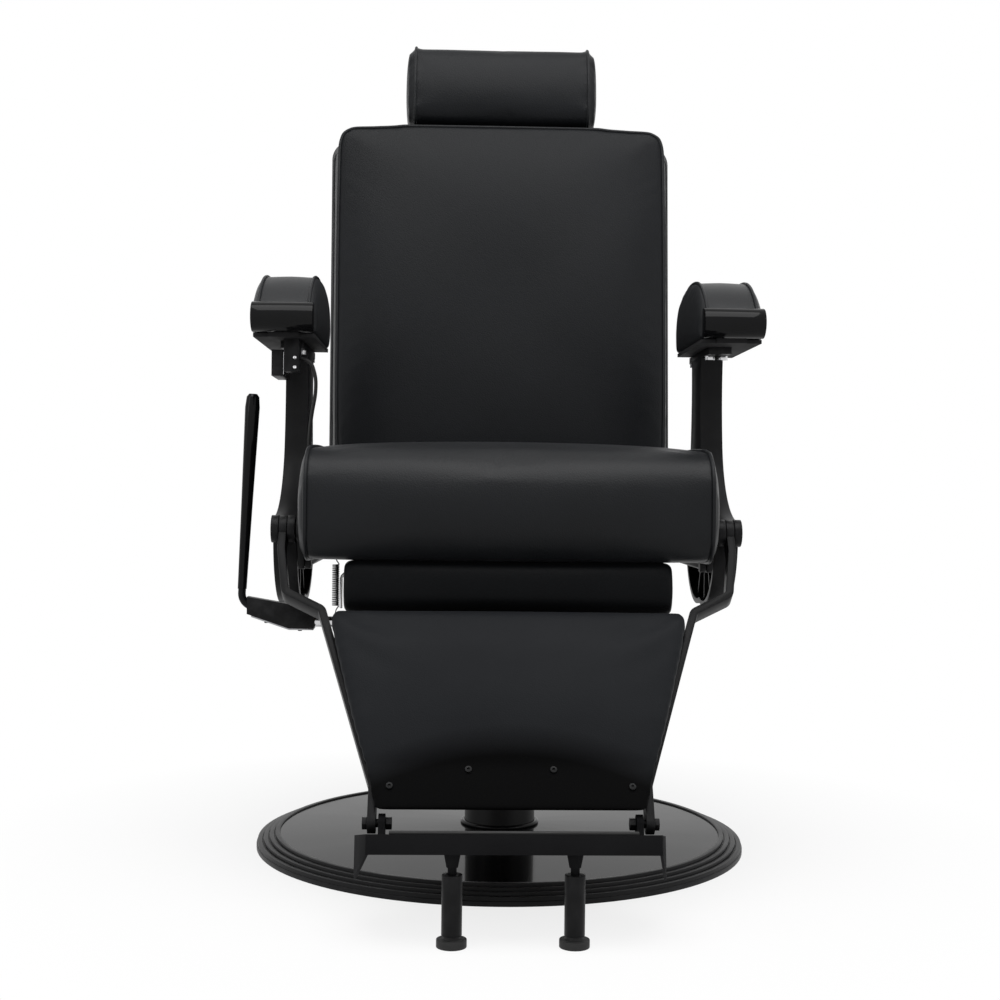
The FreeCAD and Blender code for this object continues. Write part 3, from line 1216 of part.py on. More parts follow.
# Foot rest, drawn level about its bolts, and its two support legs
def make_foot_rest():
    front = dim("foot_front_width") / 2
    back = dim("foot_back_width") / 2
    sheet_thick = dim("foot_sheet")
    top = -dim("foot_drop")
    near = -dim("foot_depth")
    far = dim("foot_tail")
    down = Vector(0, 0, -1)

    def trapezoid(inset, y_near, y_far, z):
        """The plan of the tread between two depths, as a face."""
        def half(y):
            return front + (back - front) * (y - near) / (far - near) - inset
        corners = [Vector(-half(y_near), y_near, z), Vector(half(y_near), y_near, z),
                   Vector(half(y_far), y_far, z), Vector(-half(y_far), y_far, z)]
        return Part.Face(Part.makePolygon(corners + corners[:1]))

    tread = trapezoid(0, near, far, top).extrude(down * sheet_thick)
    lip = trapezoid(0, near, near + sheet_thick, top).extrude(down * dim("foot_lip"))
    pieces = [lip]
    for side in (1, -1):
        start = Vector(side * front, near, top)
        end = Vector(side * back, far, top)
        corners = [start, end, end + down * dim("foot_cheek"), start + down * dim("foot_lip")]
        inward = Vector(-side * (far - near), 0, 0).normalize() * sheet_thick
        pieces.append(Part.Face(Part.makePolygon(corners + corners[:1])).extrude(inward))
        ear_start = dim("ear_inner") if side > 0 else -dim("ear_inner") - dim("ear_thick")
        radius = dim("ear_radius")
        ear = Part.makeBox(dim("ear_thick"), 2 * radius, dim("foot_drop"), Vector(ear_start, -radius, top))
        eye = Part.makeCylinder(radius, dim("ear_thick"), Vector(ear_start, 0, 0), Vector(1, 0, 0))
        pieces += [ear, eye]
    tray = tread.fuse(pieces)
    for side in (1, -1):
        start = Vector(side * dim("ear_inner") - side * 20, 0, 0)
        tray = tray.cut(Part.makeCylinder(dim("foot_bolt") + dim("running_gap"), 60, start,
                                          Vector(side, 0, 0)))
    tray = tray.removeSplitter()
    placement = frame_placement("foot")
    tray.Placement = placement

    # The support legs stand upright, so their sockets are made where they stand.
    underside = placement.multVec(Vector(0, near + 12, top)).z - sheet_thick * 0.9
    for name, side in SIDES:
        base = Vector(side * dim("leg_place"), -dim("leg_front"), dim("cone_bottom"))
        taper = Part.makeCone(dim("cone_thin"), dim("leg_neck_radius"),
                              dim("cone_top") - dim("cone_bottom"), base)
        neck = Part.makeCylinder(dim("leg_neck_radius"), underside - dim("cone_top"),
                                 Vector(base.x, base.y, dim("cone_top")))
        stud_bottom = (dim("leg_tube_top") + dim("leg_tube_bottom")) / 2
        stud = Part.makeCylinder(dim("stud_radius"), dim("cone_bottom") - stud_bottom,
                                 Vector(base.x, base.y, stud_bottom))
        tray = tray.fuse([taper, neck, stud])
    shaped("foot_tray", tray)

    mat_near = near + 4
    mat_far = -26
    mat = Part.makeBox(2 * dim("mat_half"), mat_far - mat_near, dim("mat_thick"),
                       Vector(-dim("mat_half"), mat_near, top))
    step = (mat_far - mat_near) / MAT_RIBS
    ribs = []
    for i in range(MAT_RIBS):
        y = mat_near + step * i
        z = top + dim("mat_thick")
        corners = [Vector(-dim("mat_half"), y, z), Vector(-dim("mat_half"), y + step * 0.7, z),
                   Vector(-dim("mat_half"), y + step * 0.5, z + dim("mat_rib")),
                   Vector(-dim("mat_half"), y + step * 0.2, z + dim("mat_rib"))]
        ribs.append(Part.Face(Part.makePolygon(corners + corners[:1])).extrude(Vector(2 * dim("mat_half"),
                                                                                      0, 0)))
    shaped("foot_mat", mat.fuse(ribs).removeSplitter(), "foot")

    for name, side in SIDES:
        x = f"{side} * leg_place"
        tube = rod("leg_tube_radius", "leg_tube_top - leg_tube_bottom",
                   (x, "-leg_front", "leg_tube_bottom"))
        bore_depth = "(leg_tube_top - leg_tube_bottom) / 2 + bolt_head * 1.5"
        bore = rod("stud_radius + running_gap", bore_depth,
                   (x, "-leg_front", f"leg_tube_top - ({bore_depth})"))
        node(f"{name}_leg_tube", cut(tube, bore))
        pad = rod("leg_foot_radius", "leg_foot_height", (x, "-leg_front", "0"))
        neck = rod("leg_neck_radius", "leg_tube_bottom - leg_foot_height",
                   (x, "-leg_front", "leg_foot_height"))
        node(f"{name}_leg_foot", fuse(pad, neck))


def write_parts():
    doc.recompute()
    for thing in doc.Objects:
        if any(state in ("Invalid", "Error") for state in thing.State):
            raise RuntimeError(f"{thing.Label} failed: {thing.State}")
    for label, thing in NODES.items():
        if thing.Shape.isNull() or not thing.Shape.isValid():
            raise RuntimeError(f"{label} has no valid shape")
        if not thing.Shape.Solids:
            raise RuntimeError(f"{label} has no solid")
    os.makedirs("parts", exist_ok=True)
    for label, thing in NODES.items():
        thing.Shape.exportStep(f"parts/{label}.step")
    print(len(NODES), "nodes,", sum(len(thing.Shape.Solids) for thing in NODES.values()), "solids")


make_base()
make_column()
make_pump()
make_spring()
make_frame()
make_seat()
make_castings()
make_arms()
make_release()
make_linkage()
make_back()
make_leg_rest()
make_foot_rest()
write_parts()
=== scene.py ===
import json
import math

import bpy
import numpy as np
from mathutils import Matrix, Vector


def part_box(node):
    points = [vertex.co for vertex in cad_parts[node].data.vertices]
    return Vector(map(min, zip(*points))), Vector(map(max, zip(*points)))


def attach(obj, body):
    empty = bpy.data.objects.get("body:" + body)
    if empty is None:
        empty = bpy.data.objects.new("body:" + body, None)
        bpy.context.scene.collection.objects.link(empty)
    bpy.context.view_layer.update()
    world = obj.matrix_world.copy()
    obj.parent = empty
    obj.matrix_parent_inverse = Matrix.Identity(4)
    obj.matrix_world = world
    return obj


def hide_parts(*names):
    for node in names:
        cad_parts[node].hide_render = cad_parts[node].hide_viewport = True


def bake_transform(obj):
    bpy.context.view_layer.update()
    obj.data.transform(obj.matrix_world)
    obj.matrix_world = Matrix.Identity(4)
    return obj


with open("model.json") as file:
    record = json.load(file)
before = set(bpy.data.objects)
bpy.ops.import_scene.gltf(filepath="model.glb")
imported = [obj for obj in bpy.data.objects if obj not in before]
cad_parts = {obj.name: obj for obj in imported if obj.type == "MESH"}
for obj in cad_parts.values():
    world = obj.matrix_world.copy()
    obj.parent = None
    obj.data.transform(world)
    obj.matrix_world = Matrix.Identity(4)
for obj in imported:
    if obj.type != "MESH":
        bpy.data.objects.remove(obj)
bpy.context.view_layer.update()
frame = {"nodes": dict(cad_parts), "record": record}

BACK_LEAN = math.radians(12)
BACK_PIVOT = Vector((0, 0.190, 0.451))
BACK_UP = Vector((0, math.sin(BACK_LEAN), math.cos(BACK_LEAN)))
BACK_REAR = Vector((0, math.cos(BACK_LEAN), -math.sin(BACK_LEAN)))
LEG_LEAN = math.radians(34.3)
LEG_PIVOT = Vector((0, -0.185, 0.451))
LEG_DOWN = Vector((0, -math.sin(LEG_LEAN), -math.cos(LEG_LEAN)))
LEG_FRONT = Vector((0, -math.cos(LEG_LEAN), math.sin(LEG_LEAN)))
LEATHER_DARK = (0.0050, 0.0056, 0.0066)
LEATHER_LIGHT = (0.0068, 0.0075, 0.0088)
RUBBED_GREY = (0.06, 0.06, 0.063)
# The next colour is painted shade: the near black laid on the calf pad below its arch.
PAINTED_SHADE_BLACK = (0.0012, 0.0012, 0.0013)
CLOUDS_LOW, CLOUDS_HIGH = 0.3, 0.7
# The arch below which the calf pad gets its painted shade: its height, softness and bow.
SHADE_ARCH_HEIGHT, SHADE_ARCH_SOFT, SHADE_ARCH_BOW = 0.210, 0.018, 1.35
CAMERA_PLACE = (-0.0705, -2.1508, 0.5013)
CAMERA_TURN = [math.radians(angle) for angle in (89.724, -0.621, -1.765)]
CAMERA_LENS = 53.84
EVEN_LIGHT = 0.32
BEVEL_ANGLE = math.radians(38)
METAL_ANGLE = math.radians(32)
FITTING_ANGLE = math.radians(40)
SEAM_TIGHT = 0.002
BODY_OF = {node: body for body, nodes in frame["record"]["behaviour"]["bodies"].items() for node in nodes}
SLOT_OF = {name: piece.data.materials[0].name for name, piece in frame["nodes"].items()}


# Camera, light and floor
def make_camera():
    """A nearly level camera in front of the chair, a touch to the sitter's right, as in the photograph."""
    bpy.ops.object.camera_add(location=CAMERA_PLACE, rotation=CAMERA_TURN)
    camera = bpy.context.object
    camera.name = "photo_camera"
    camera.data.sensor_width = 36
    camera.data.lens = CAMERA_LENS
    bpy.context.scene.camera = camera


def make_lamp(name, place, aim, size, power):
    """A soft box at a place, turned to what it lights."""
    bpy.ops.object.light_add(type="AREA", location=place)
    lamp = bpy.context.object
    lamp.name = name
    lamp.data.shape = "RECTANGLE"
    lamp.data.size, lamp.data.size_y = size
    lamp.data.energy = power
    lamp.rotation_euler = (Vector(aim) - Vector(place)).to_track_quat("-Z", "Y").to_euler()


def seen_directly(tree):
    """1 for rays from the camera, a reflection or a clear piece, and 0 for light on the chair."""
    path = tree.nodes.new("ShaderNodeLightPath")
    seen, mirrored = path.outputs["Is Camera Ray"], path.outputs["Is Glossy Ray"]
    through = path.outputs["Is Transmission Ray"]
    return combine(tree, "MAXIMUM", combine(tree, "MAXIMUM", seen, mirrored), through)


def make_room():
    """White all round for the eye and in reflections, with a lower even light on the chair."""
    world = bpy.data.worlds.new("white_room")
    bpy.context.scene.world = world
    world.use_nodes = True
    tree = world.node_tree
    even = tree.nodes["Background"]
    even.inputs["Color"].default_value = (1, 1, 1, 1)
    even.inputs["Strength"].default_value = EVEN_LIGHT
    white = tree.nodes.new("ShaderNodeBackground")
    white.inputs["Color"].default_value = (1, 1, 1, 1)
    white.inputs["Strength"].default_value = 1
    mix = tree.nodes.new("ShaderNodeMixShader")
    tree.links.new(seen_directly(tree), mix.inputs["Fac"])
    tree.links.new(even.outputs["Background"], mix.inputs[1])
    tree.links.new(white.outputs["Background"], mix.inputs[2])
    tree.links.new(mix.outputs["Shader"], tree.nodes["World Output"].inputs["Surface"])


def make_floor():
    """A pale floor that keeps the shadow near the chair and runs out to white."""
    bpy.ops.mesh.primitive_plane_add(size=60, location=(0, 0, -0.0003))
    floor = bpy.context.object
    floor.name = "studio_floor"
    finish, tree, shader = fresh_finish("pale_floor")
    shader.inputs["Base Color"].default_value = (0.88, 0.88, 0.88, 1)
    shader.inputs["Roughness"].default_value = 0.7
    shader.inputs["Specular IOR Level"].default_value = 0.1
    where = tree.nodes.new("ShaderNodeTexCoord")
    distance = tree.nodes.new("ShaderNodeVectorMath")
    distance.operation = "LENGTH"
    tree.links.new(where.outputs["Object"], distance.inputs[0])
    near, far, least_white = 0.36, 0.80, 0.80
    away = map_value(tree, distance.outputs["Value"], near, far, least_white, 1)
    white = tree.nodes.new("ShaderNodeEmission")
    mix = tree.nodes.new("ShaderNodeMixShader")
    tree.links.new(combine(tree, "MULTIPLY", away, seen_directly(tree)), mix.inputs["Fac"])
    tree.links.new(shader.outputs["BSDF"], mix.inputs[1])
    tree.links.new(white.outputs["Emission"], mix.inputs[2])
    tree.links.new(mix.outputs["Shader"], tree.nodes["Material Output"].inputs["Surface"])
    floor.data.materials.append(finish)


# Finishes
def fresh_finish(name):
    """A new finish, its node tree and its shader."""
    finish = bpy.data.materials.new(name)
    finish.use_nodes = True
    tree = finish.node_tree
    return finish, tree, tree.nodes["Principled BSDF"]


def on_piece(tree, stretch=(1, 1, 1)):
    """Places on the piece itself, in metres, stretched by a factor along each axis."""
    where = tree.nodes.new("ShaderNodeTexCoord")
    mapping = tree.nodes.new("ShaderNodeMapping")
    mapping.inputs["Scale"].default_value = stretch
    tree.links.new(where.outputs["Object"], mapping.inputs["Vector"])
    return mapping.outputs["Vector"]


def combine(tree, operation, first, second):
    """One number made from two by a Math node of this kind."""
    node = tree.nodes.new("ShaderNodeMath")
    node.operation = operation
    tree.links.new(first, node.inputs[0])
    tree.links.new(second, node.inputs[1])
    return node.outputs["Value"]


def clouds(tree, where, scale, detail=2.0, roughness=0.5):
    """Soft noise of a scale per metre."""
    noise = tree.nodes.new("ShaderNodeTexNoise")
    noise.inputs["Scale"].default_value = scale
    noise.inputs["Detail"].default_value = detail
    noise.inputs["Roughness"].default_value = roughness
    tree.links.new(where, noise.inputs["Vector"])
    return noise.outputs["Fac"]


def pebbles(tree, where, scale, feature="SMOOTH_F1"):
    """Small cells of a scale per metre, as the distance from their centres or edges."""
    cells = tree.nodes.new("ShaderNodeTexVoronoi")
    cells.feature = feature
    cells.inputs["Scale"].default_value = scale
    tree.links.new(where, cells.inputs["Vector"])
    return cells.outputs["Distance"]


def map_value(tree, value, from_low, from_high, low, high):
    """A number between low and high, by where a value lies in its own range."""
    node = tree.nodes.new("ShaderNodeMapRange")
    node.inputs["From Min"].default_value = from_low
    node.inputs["From Max"].default_value = from_high
    node.inputs["To Min"].default_value = low
    node.inputs["To Max"].default_value = high
    tree.links.new(value, node.inputs["Value"])
    return node.outputs["Result"]


def spread(tree, value, low, high):
    """A number between two, over the usual range of clouds."""
    return map_value(tree, value, CLOUDS_LOW, CLOUDS_HIGH, low, high)


def tint(tree, value, low, high):
    """A colour between two, over the usual range of clouds."""
    node = tree.nodes.new("ShaderNodeValToRGB")
    dark, light = node.color_ramp.elements
    dark.position, dark.color = CLOUDS_LOW, (*low, 1)
    light.position, light.color = CLOUDS_HIGH, (*high, 1)
    tree.links.new(value, node.inputs["Fac"])
    return node.outputs["Color"]


def mixed(tree, share, under, over):
    """A colour from the tree that gives way to a plain one by a share."""
    mix = tree.nodes.new("ShaderNodeMix")
    mix.data_type = "RGBA"
    colours = [socket for socket in mix.inputs if socket.type == "RGBA"]
    colours[1].default_value = (*over, 1)
    tree.links.new(share, mix.inputs["Factor"])
    tree.links.new(under, colours[0])
    return [socket for socket in mix.outputs if socket.type == "RGBA"][0]


def relief(tree, height, depth, under=None):
    """Raised and sunk detail of a depth in metres, over what lies under it."""
    bump = tree.nodes.new("ShaderNodeBump")
    bump.inputs["Strength"].default_value = 1
    bump.inputs["Distance"].default_value = depth
    tree.links.new(height, bump.inputs["Height"])
    if under is not None:
        tree.links.new(under, bump.inputs["Normal"])
    return bump.outputs["Normal"]


def worn_edges(tree, where, colour, low, high, share):
    """Lighter colour where outer edges are rubbed, broken up by clouds."""
    shape = tree.nodes.new("ShaderNodeNewGeometry")
    edge = map_value(tree, shape.outputs["Pointiness"], low, high, 0, share)
    patches = map_value(tree, clouds(tree, where, 60, 4), 0.4, 0.65, 0.2, 1)
    return mixed(tree, combine(tree, "MULTIPLY", edge, patches), colour, RUBBED_GREY)


def leather(name, low, high, shine):
    """Black grained cover: fine pebbles, soft creases and slow changes of sheen."""
    finish, tree, shader = fresh_finish(name)
    where = on_piece(tree)
    slow = clouds(tree, where, 7, 3)
    fine = clouds(tree, where, 900, 2)
    grain = pebbles(tree, where, 620)
    crease = pebbles(tree, where, 240, "DISTANCE_TO_EDGE")
    tree.links.new(tint(tree, slow, low, high), shader.inputs["Base Color"])
    tree.links.new(spread(tree, slow, 0.38, 0.45), shader.inputs["Roughness"])
    folds = relief(tree, map_value(tree, crease, 0, 0.12, 0, 1), 0.00006)
    skin = relief(tree, grain, 0.00016, under=folds)
    tree.links.new(relief(tree, fine, 0.00004, under=skin), shader.inputs["Normal"])
    shader.inputs["Specular IOR Level"].default_value = shine
    shader.inputs["Sheen Weight"].default_value = 0.012
    shader.inputs["Sheen Roughness"].default_value = 0.5
    return finish


def powder_coat():
    """Satin black powder coat with a fine orange peel and rubbed outer edges."""
    finish, tree, shader = fresh_finish("satin_black_coat")
    where = on_piece(tree)
    slow = clouds(tree, where, 16, 3)
    peel = clouds(tree, where, 700, 2)
    colour = tint(tree, slow, (0.0062, 0.0062, 0.0066), (0.0080, 0.0080, 0.0084))
    tree.links.new(worn_edges(tree, where, colour, 0.53, 0.62, 0.6), shader.inputs["Base Color"])
    tree.links.new(spread(tree, slow, 0.36, 0.42), shader.inputs["Roughness"])
    tree.links.new(relief(tree, peel, 0.00005), shader.inputs["Normal"])
    shader.inputs["Specular IOR Level"].default_value = 0.09
    return finish


def dull_coat(name, shine):
    """Matte black coat of the plates under the arms and of the foot rest."""
    finish, tree, shader = fresh_finish(name)
    where = on_piece(tree)
    slow = clouds(tree, where, 16, 3)
    peel = clouds(tree, where, 700, 2)
    colour = tint(tree, slow, (0.0080, 0.0080, 0.0086), (0.0105, 0.0105, 0.0112))
    tree.links.new(colour, shader.inputs["Base Color"])
    tree.links.new(spread(tree, slow, 0.70, 0.82), shader.inputs["Roughness"])
    tree.links.new(relief(tree, peel, 0.00005), shader.inputs["Normal"])
    shader.inputs["Specular IOR Level"].default_value = shine
    return finish


def gloss_black():
    """High gloss black with faint wipe marks under a clear coat."""
    finish, tree, shader = fresh_finish("gloss_black_coat")
    where = on_piece(tree)
    slow = clouds(tree, where, 5, 4, 0.6)
    ripple = clouds(tree, where, 40, 1)
    colour = tint(tree, slow, (0.0030, 0.0030, 0.0034), (0.0046, 0.0046, 0.0050))
    tree.links.new(colour, shader.inputs["Base Color"])
    tree.links.new(map_value(tree, slow, 0.35, 0.7, 0.10, 0.20), shader.inputs["Roughness"])
    tree.links.new(relief(tree, ripple, 0.00002), shader.inputs["Normal"])
    shader.inputs["Specular IOR Level"].default_value = 0.02
    shader.inputs["Coat Weight"].default_value = 0.2
    shader.inputs["Coat Roughness"].default_value = 0.05
    return finish


def rim_coat():
    """Satin black rim with a fine orange peel and rubbed outer edges."""
    finish, tree, shader = fresh_finish("satin_black_rim")
    where = on_piece(tree)
    slow = clouds(tree, where, 12, 3)
    peel = clouds(tree, where, 500, 2)
    colour = tint(tree, slow, (0.0065, 0.0065, 0.0070), (0.0090, 0.0090, 0.0095))
    tree.links.new(worn_edges(tree, where, colour, 0.52, 0.60, 0.5), shader.inputs["Base Color"])
    tree.links.new(spread(tree, slow, 0.36, 0.44), shader.inputs["Roughness"])
    tree.links.new(relief(tree, peel, 0.00005), shader.inputs["Normal"])
    shader.inputs["Specular IOR Level"].default_value = 0.12
    return finish


def bright_steel(name, low, high):
    """Bright zinc and steel: faint drawn lines, soft stains and varying shine."""
    finish, tree, shader = fresh_finish(name)
    lines = clouds(tree, on_piece(tree, (250, 250, 20)), 1, 2)
    stains = clouds(tree, on_piece(tree), 40, 3)
    tree.links.new(tint(tree, stains, low, high), shader.inputs["Base Color"])
    tree.links.new(spread(tree, stains, 0.20, 0.30), shader.inputs["Roughness"])
    tree.links.new(relief(tree, lines, 0.000008), shader.inputs["Normal"])
    shader.inputs["Metallic"].default_value = 1
    return finish


def cast_iron():
    """Raw casting: sandy skin, dark with a little rust brown."""
    finish, tree, shader = fresh_finish("raw_cast_iron")
    where = on_piece(tree)
    patches = clouds(tree, where, 18, 4)
    sand = clouds(tree, where, 380, 3)
    colour = tint(tree, patches, (0.026, 0.026, 0.028), (0.050, 0.042, 0.036))
    tree.links.new(colour, shader.inputs["Base Color"])
    tree.links.new(spread(tree, patches, 0.62, 0.78), shader.inputs["Roughness"])
    tree.links.new(relief(tree, sand, 0.0004), shader.inputs["Normal"])
    shader.inputs["Metallic"].default_value = 0.5
    return finish


def bush_bronze():
    """Machined bronze with turning lines."""
    finish, tree, shader = fresh_finish("machined_bronze")
    lines = clouds(tree, on_piece(tree, (20, 20, 900)), 1, 2)
    stains = clouds(tree, on_piece(tree), 60, 3)
    colour = tint(tree, stains, (0.46, 0.29, 0.11), (0.58, 0.38, 0.16))
    tree.links.new(colour, shader.inputs["Base Color"])
    tree.links.new(spread(tree, stains, 0.25, 0.40), shader.inputs["Roughness"])
    tree.links.new(relief(tree, lines, 0.00003), shader.inputs["Normal"])
    shader.inputs["Metallic"].default_value = 1
    return finish


def plywood():
    """Raw plywood: long grain with darker veins."""
    finish, tree, shader = fresh_finish("raw_plywood")
    grain = clouds(tree, on_piece(tree, (6, 90, 90)), 1, 6, 0.6)
    pores = clouds(tree, on_piece(tree, (60, 900, 900)), 1, 2)
    colour = tint(tree, grain, (0.33, 0.22, 0.115), (0.56, 0.42, 0.25))
    tree.links.new(colour, shader.inputs["Base Color"])
    tree.links.new(spread(tree, pores, 0.60, 0.75), shader.inputs["Roughness"])
    tree.links.new(relief(tree, pores, 0.0001), shader.inputs["Normal"])
    return finish


def stained_board():
    """Plywood stained black, with its grain still showing."""
    finish, tree, shader = fresh_finish("black_stained_board")
    grain = clouds(tree, on_piece(tree, (6, 90, 90)), 1, 6, 0.6)
    pores = clouds(tree, on_piece(tree, (60, 900, 900)), 1, 2)
    colour = tint(tree, grain, (0.006, 0.006, 0.006), (0.012, 0.011, 0.010))
    tree.links.new(colour, shader.inputs["Base Color"])
    tree.links.new(spread(tree, pores, 0.60, 0.75), shader.inputs["Roughness"])
    tree.links.new(relief(tree, pores, 0.0001), shader.inputs["Normal"])
    shader.inputs["Specular IOR Level"].default_value = 0.2
    return finish


def calf_leather_painted_shade():
    """The calf pad's cover: the same grain, duller, with painted shade that turns it near black below a
    soft arch where the pad turns under.
    """
    finish, tree, shader = fresh_finish("calf_leather_painted_shade")
    where = on_piece(tree)
    slow = clouds(tree, where, 7, 3)
    grain = pebbles(tree, where, 620)
    split = tree.nodes.new("ShaderNodeSeparateXYZ")
    tree.links.new(where, split.inputs["Vector"])
    bow = combine(tree, "MULTIPLY", split.outputs["X"], split.outputs["X"])
    height = tree.nodes.new("ShaderNodeMath")
    height.operation = "MULTIPLY_ADD"
    tree.links.new(bow, height.inputs[0])
    height.inputs[1].default_value = SHADE_ARCH_BOW
    tree.links.new(split.outputs["Z"], height.inputs[2])
    # Painted shade mask: 1 below the arch and 0 above it, with a soft change between.
    under = map_value(tree, height.outputs["Value"], SHADE_ARCH_HEIGHT - SHADE_ARCH_SOFT, SHADE_ARCH_HEIGHT + SHADE_ARCH_SOFT, 1, 0)
    upper = tint(tree, slow, (0.0120, 0.0128, 0.0145), (0.0145, 0.0155, 0.0172))
    # Below the arch the base colour gives way to the painted shade black.
    tree.links.new(mixed(tree, under, upper, PAINTED_SHADE_BLACK), shader.inputs["Base Color"])
    tree.links.new(map_value(tree, under, 0, 1, 0.48, 0.75), shader.inputs["Roughness"])
    tree.links.new(relief(tree, grain, 0.00012), shader.inputs["Normal"])
    shader.inputs["Specular IOR Level"].default_value = 0.04
    return finish


def spring_steel():
    """Dark spring wire: oiled, with drawn lines and lighter rubbed patches."""
    finish, tree, shader = fresh_finish("dark_spring_steel")
    lines = clouds(tree, on_piece(tree, (400, 400, 900)), 1, 2)
    patches = clouds(tree, on_piece(tree), 160, 4, 0.6)
    colour = tint(tree, patches, (0.035, 0.035, 0.037), (0.10, 0.10, 0.105))
    tree.links.new(colour, shader.inputs["Base Color"])
    tree.links.new(spread(tree, patches, 0.28, 0.42), shader.inputs["Roughness"])
    tree.links.new(relief(tree, lines, 0.00002), shader.inputs["Normal"])
    shader.inputs["Metallic"].default_value = 1
    return finish


def moulded_panel():
    """Fine grained black moulded panel."""
    finish, tree, shader = fresh_finish("grained_black_panel")
    where = on_piece(tree)
    slow = clouds(tree, where, 8, 3)
    grain = pebbles(tree, where, 900)
    colour = tint(tree, slow, (0.0080, 0.0080, 0.0086), (0.0110, 0.0110, 0.0118))
    tree.links.new(colour, shader.inputs["Base Color"])
    tree.links.new(spread(tree, slow, 0.48, 0.58), shader.inputs["Roughness"])
    tree.links.new(relief(tree, grain, 0.00012), shader.inputs["Normal"])
    return finish


def black_rubber():
    """Matte black rubber with a dusty bloom."""
    finish, tree, shader = fresh_finish("matte_black_rubber")
    where = on_piece(tree)
    bloom = clouds(tree, where, 45, 4)
    fine = clouds(tree, where, 1100, 2)
    colour = tint(tree, bloom, (0.0075, 0.0075, 0.0075), (0.0135, 0.0135, 0.0135))
    tree.links.new(colour, shader.inputs["Base Color"])
    tree.links.new(spread(tree, bloom, 0.55, 0.70), shader.inputs["Roughness"])
    tree.links.new(relief(tree, fine, 0.00006), shader.inputs["Normal"])
    shader.inputs["Specular IOR Level"].default_value = 0.35
    return finish


# Work on a piece
def pick_only(piece):
    """Select this piece alone and make it active."""
    bpy.ops.object.select_all(action="DESELECT")
    piece.select_set(True)
    bpy.context.view_layer.objects.active = piece


def edit_all(piece):
    """Open a piece in edit mode with all of it selected."""
    pick_only(piece)
    bpy.ops.object.mode_set(mode="EDIT")
    bpy.ops.mesh.select_all(action="SELECT")


def edit_faces(piece, wanted):
    """Open a piece in edit mode with only the wanted faces selected."""
    edit_all(piece)
    bpy.ops.mesh.select_mode(type="FACE")
    bpy.ops.mesh.select_all(action="DESELECT")
    bpy.ops.object.mode_set(mode="OBJECT")
    for face in piece.data.polygons:
        face.select = wanted(face)
    bpy.ops.object.mode_set(mode="EDIT")


def close_up(piece):
    """End a piece's edit: join its loose points, turn every face outwards and put its place in its mesh."""
    bpy.ops.mesh.select_all(action="SELECT")
    bpy.ops.mesh.remove_doubles(threshold=0.00001)
    bpy.ops.mesh.normals_make_consistent(inside=False)
    bpy.ops.object.mode_set(mode="OBJECT")
    pick_only(piece)
    bpy.ops.object.transform_apply(location=True, rotation=True, scale=True)


def new_piece(name, mesh):
    """A piece with this mesh, picked."""
    piece = bpy.data.objects.new(name, mesh)
    bpy.context.scene.collection.objects.link(piece)
    pick_only(piece)
    return piece


def merged_copy(node, name):
    """A copy of a solid's skin with its loose triangles joined."""
    piece = new_piece(name, frame["nodes"][node].data.copy())
    edit_all(piece)
    bpy.ops.mesh.customdata_custom_splitnormals_clear()
    bpy.ops.mesh.remove_doubles(threshold=0.00002)
    bpy.ops.object.mode_set(mode="OBJECT")
    return piece


def apply_modifier(piece, kind, **settings):
    """Add one modifier with these settings and apply it."""
    pick_only(piece)
    modifier = piece.modifiers.new(kind.lower(), kind)
    for key, value in settings.items():
        setattr(modifier, key, value)
    bpy.ops.object.modifier_apply(modifier=modifier.name)


def wear(piece, slot):
    """Give a piece the finish of one of the chair's material slots."""
    piece.data.materials.clear()
    piece.data.materials.append(FINISHES[slot])


def settle(piece, body, slot, *nodes):
    """Finish a piece, let it ride on its body and stand for the solids it covers."""
    wear(piece, slot)
    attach(piece, body)
    if nodes:
        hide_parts(*nodes)


def rounded(node, edge):
    """A metal or moulded piece with its sharp edges broken by a small round."""
    piece = merged_copy(node, node + "_rounded")
    edit_all(piece)
    bpy.ops.mesh.dissolve_limited(angle_limit=math.radians(0.3))
    bpy.ops.object.mode_set(mode="OBJECT")
    if edge:
        apply_modifier(piece, "BEVEL", width=edge, segments=2, limit_method="ANGLE",
                       angle_limit=BEVEL_ANGLE, use_clamp_overlap=True, miter_outer="MITER_SHARP")
    pick_only(piece)
    bpy.ops.object.shade_smooth_by_angle(angle=METAL_ANGLE)
    settle(piece, BODY_OF[node], SLOT_OF[node], node)
    return piece


# Cushions
def points_of(piece):
    """The places of a piece's points."""
    values = np.zeros(len(piece.data.vertices) * 3)
    piece.data.vertices.foreach_get("co", values)
    return values.reshape(-1, 3)


def normals_of(piece):
    """The directions that a piece's points face."""
    values = np.zeros(len(piece.data.vertices) * 3)
    piece.data.vertex_normals.foreach_get("vector", values)
    return values.reshape(-1, 3)


def set_points(piece, points):
    """Move a piece's points to these places."""
    piece.data.vertices.foreach_set("co", np.asarray(points, dtype=float).ravel())
    piece.data.update()


def weight_group(piece, name, weights):
    """A vertex group with a weight for each point."""
    group = piece.vertex_groups.new(name=name)
    for level in np.unique(weights):
        group.add(np.flatnonzero(weights == level).tolist(), float(level), "REPLACE")


def ramp(value, low, high):
    """0 at low, 1 at high and a smooth rise between."""
    share = np.clip((value - low) / (high - low), 0, 1)
    return share * share * (3 - 2 * share)


def near_seam(distance, reach):
    """1 on a seam, and 0 further from it than its reach."""
    return 1 - ramp(abs(distance), SEAM_TIGHT, reach)


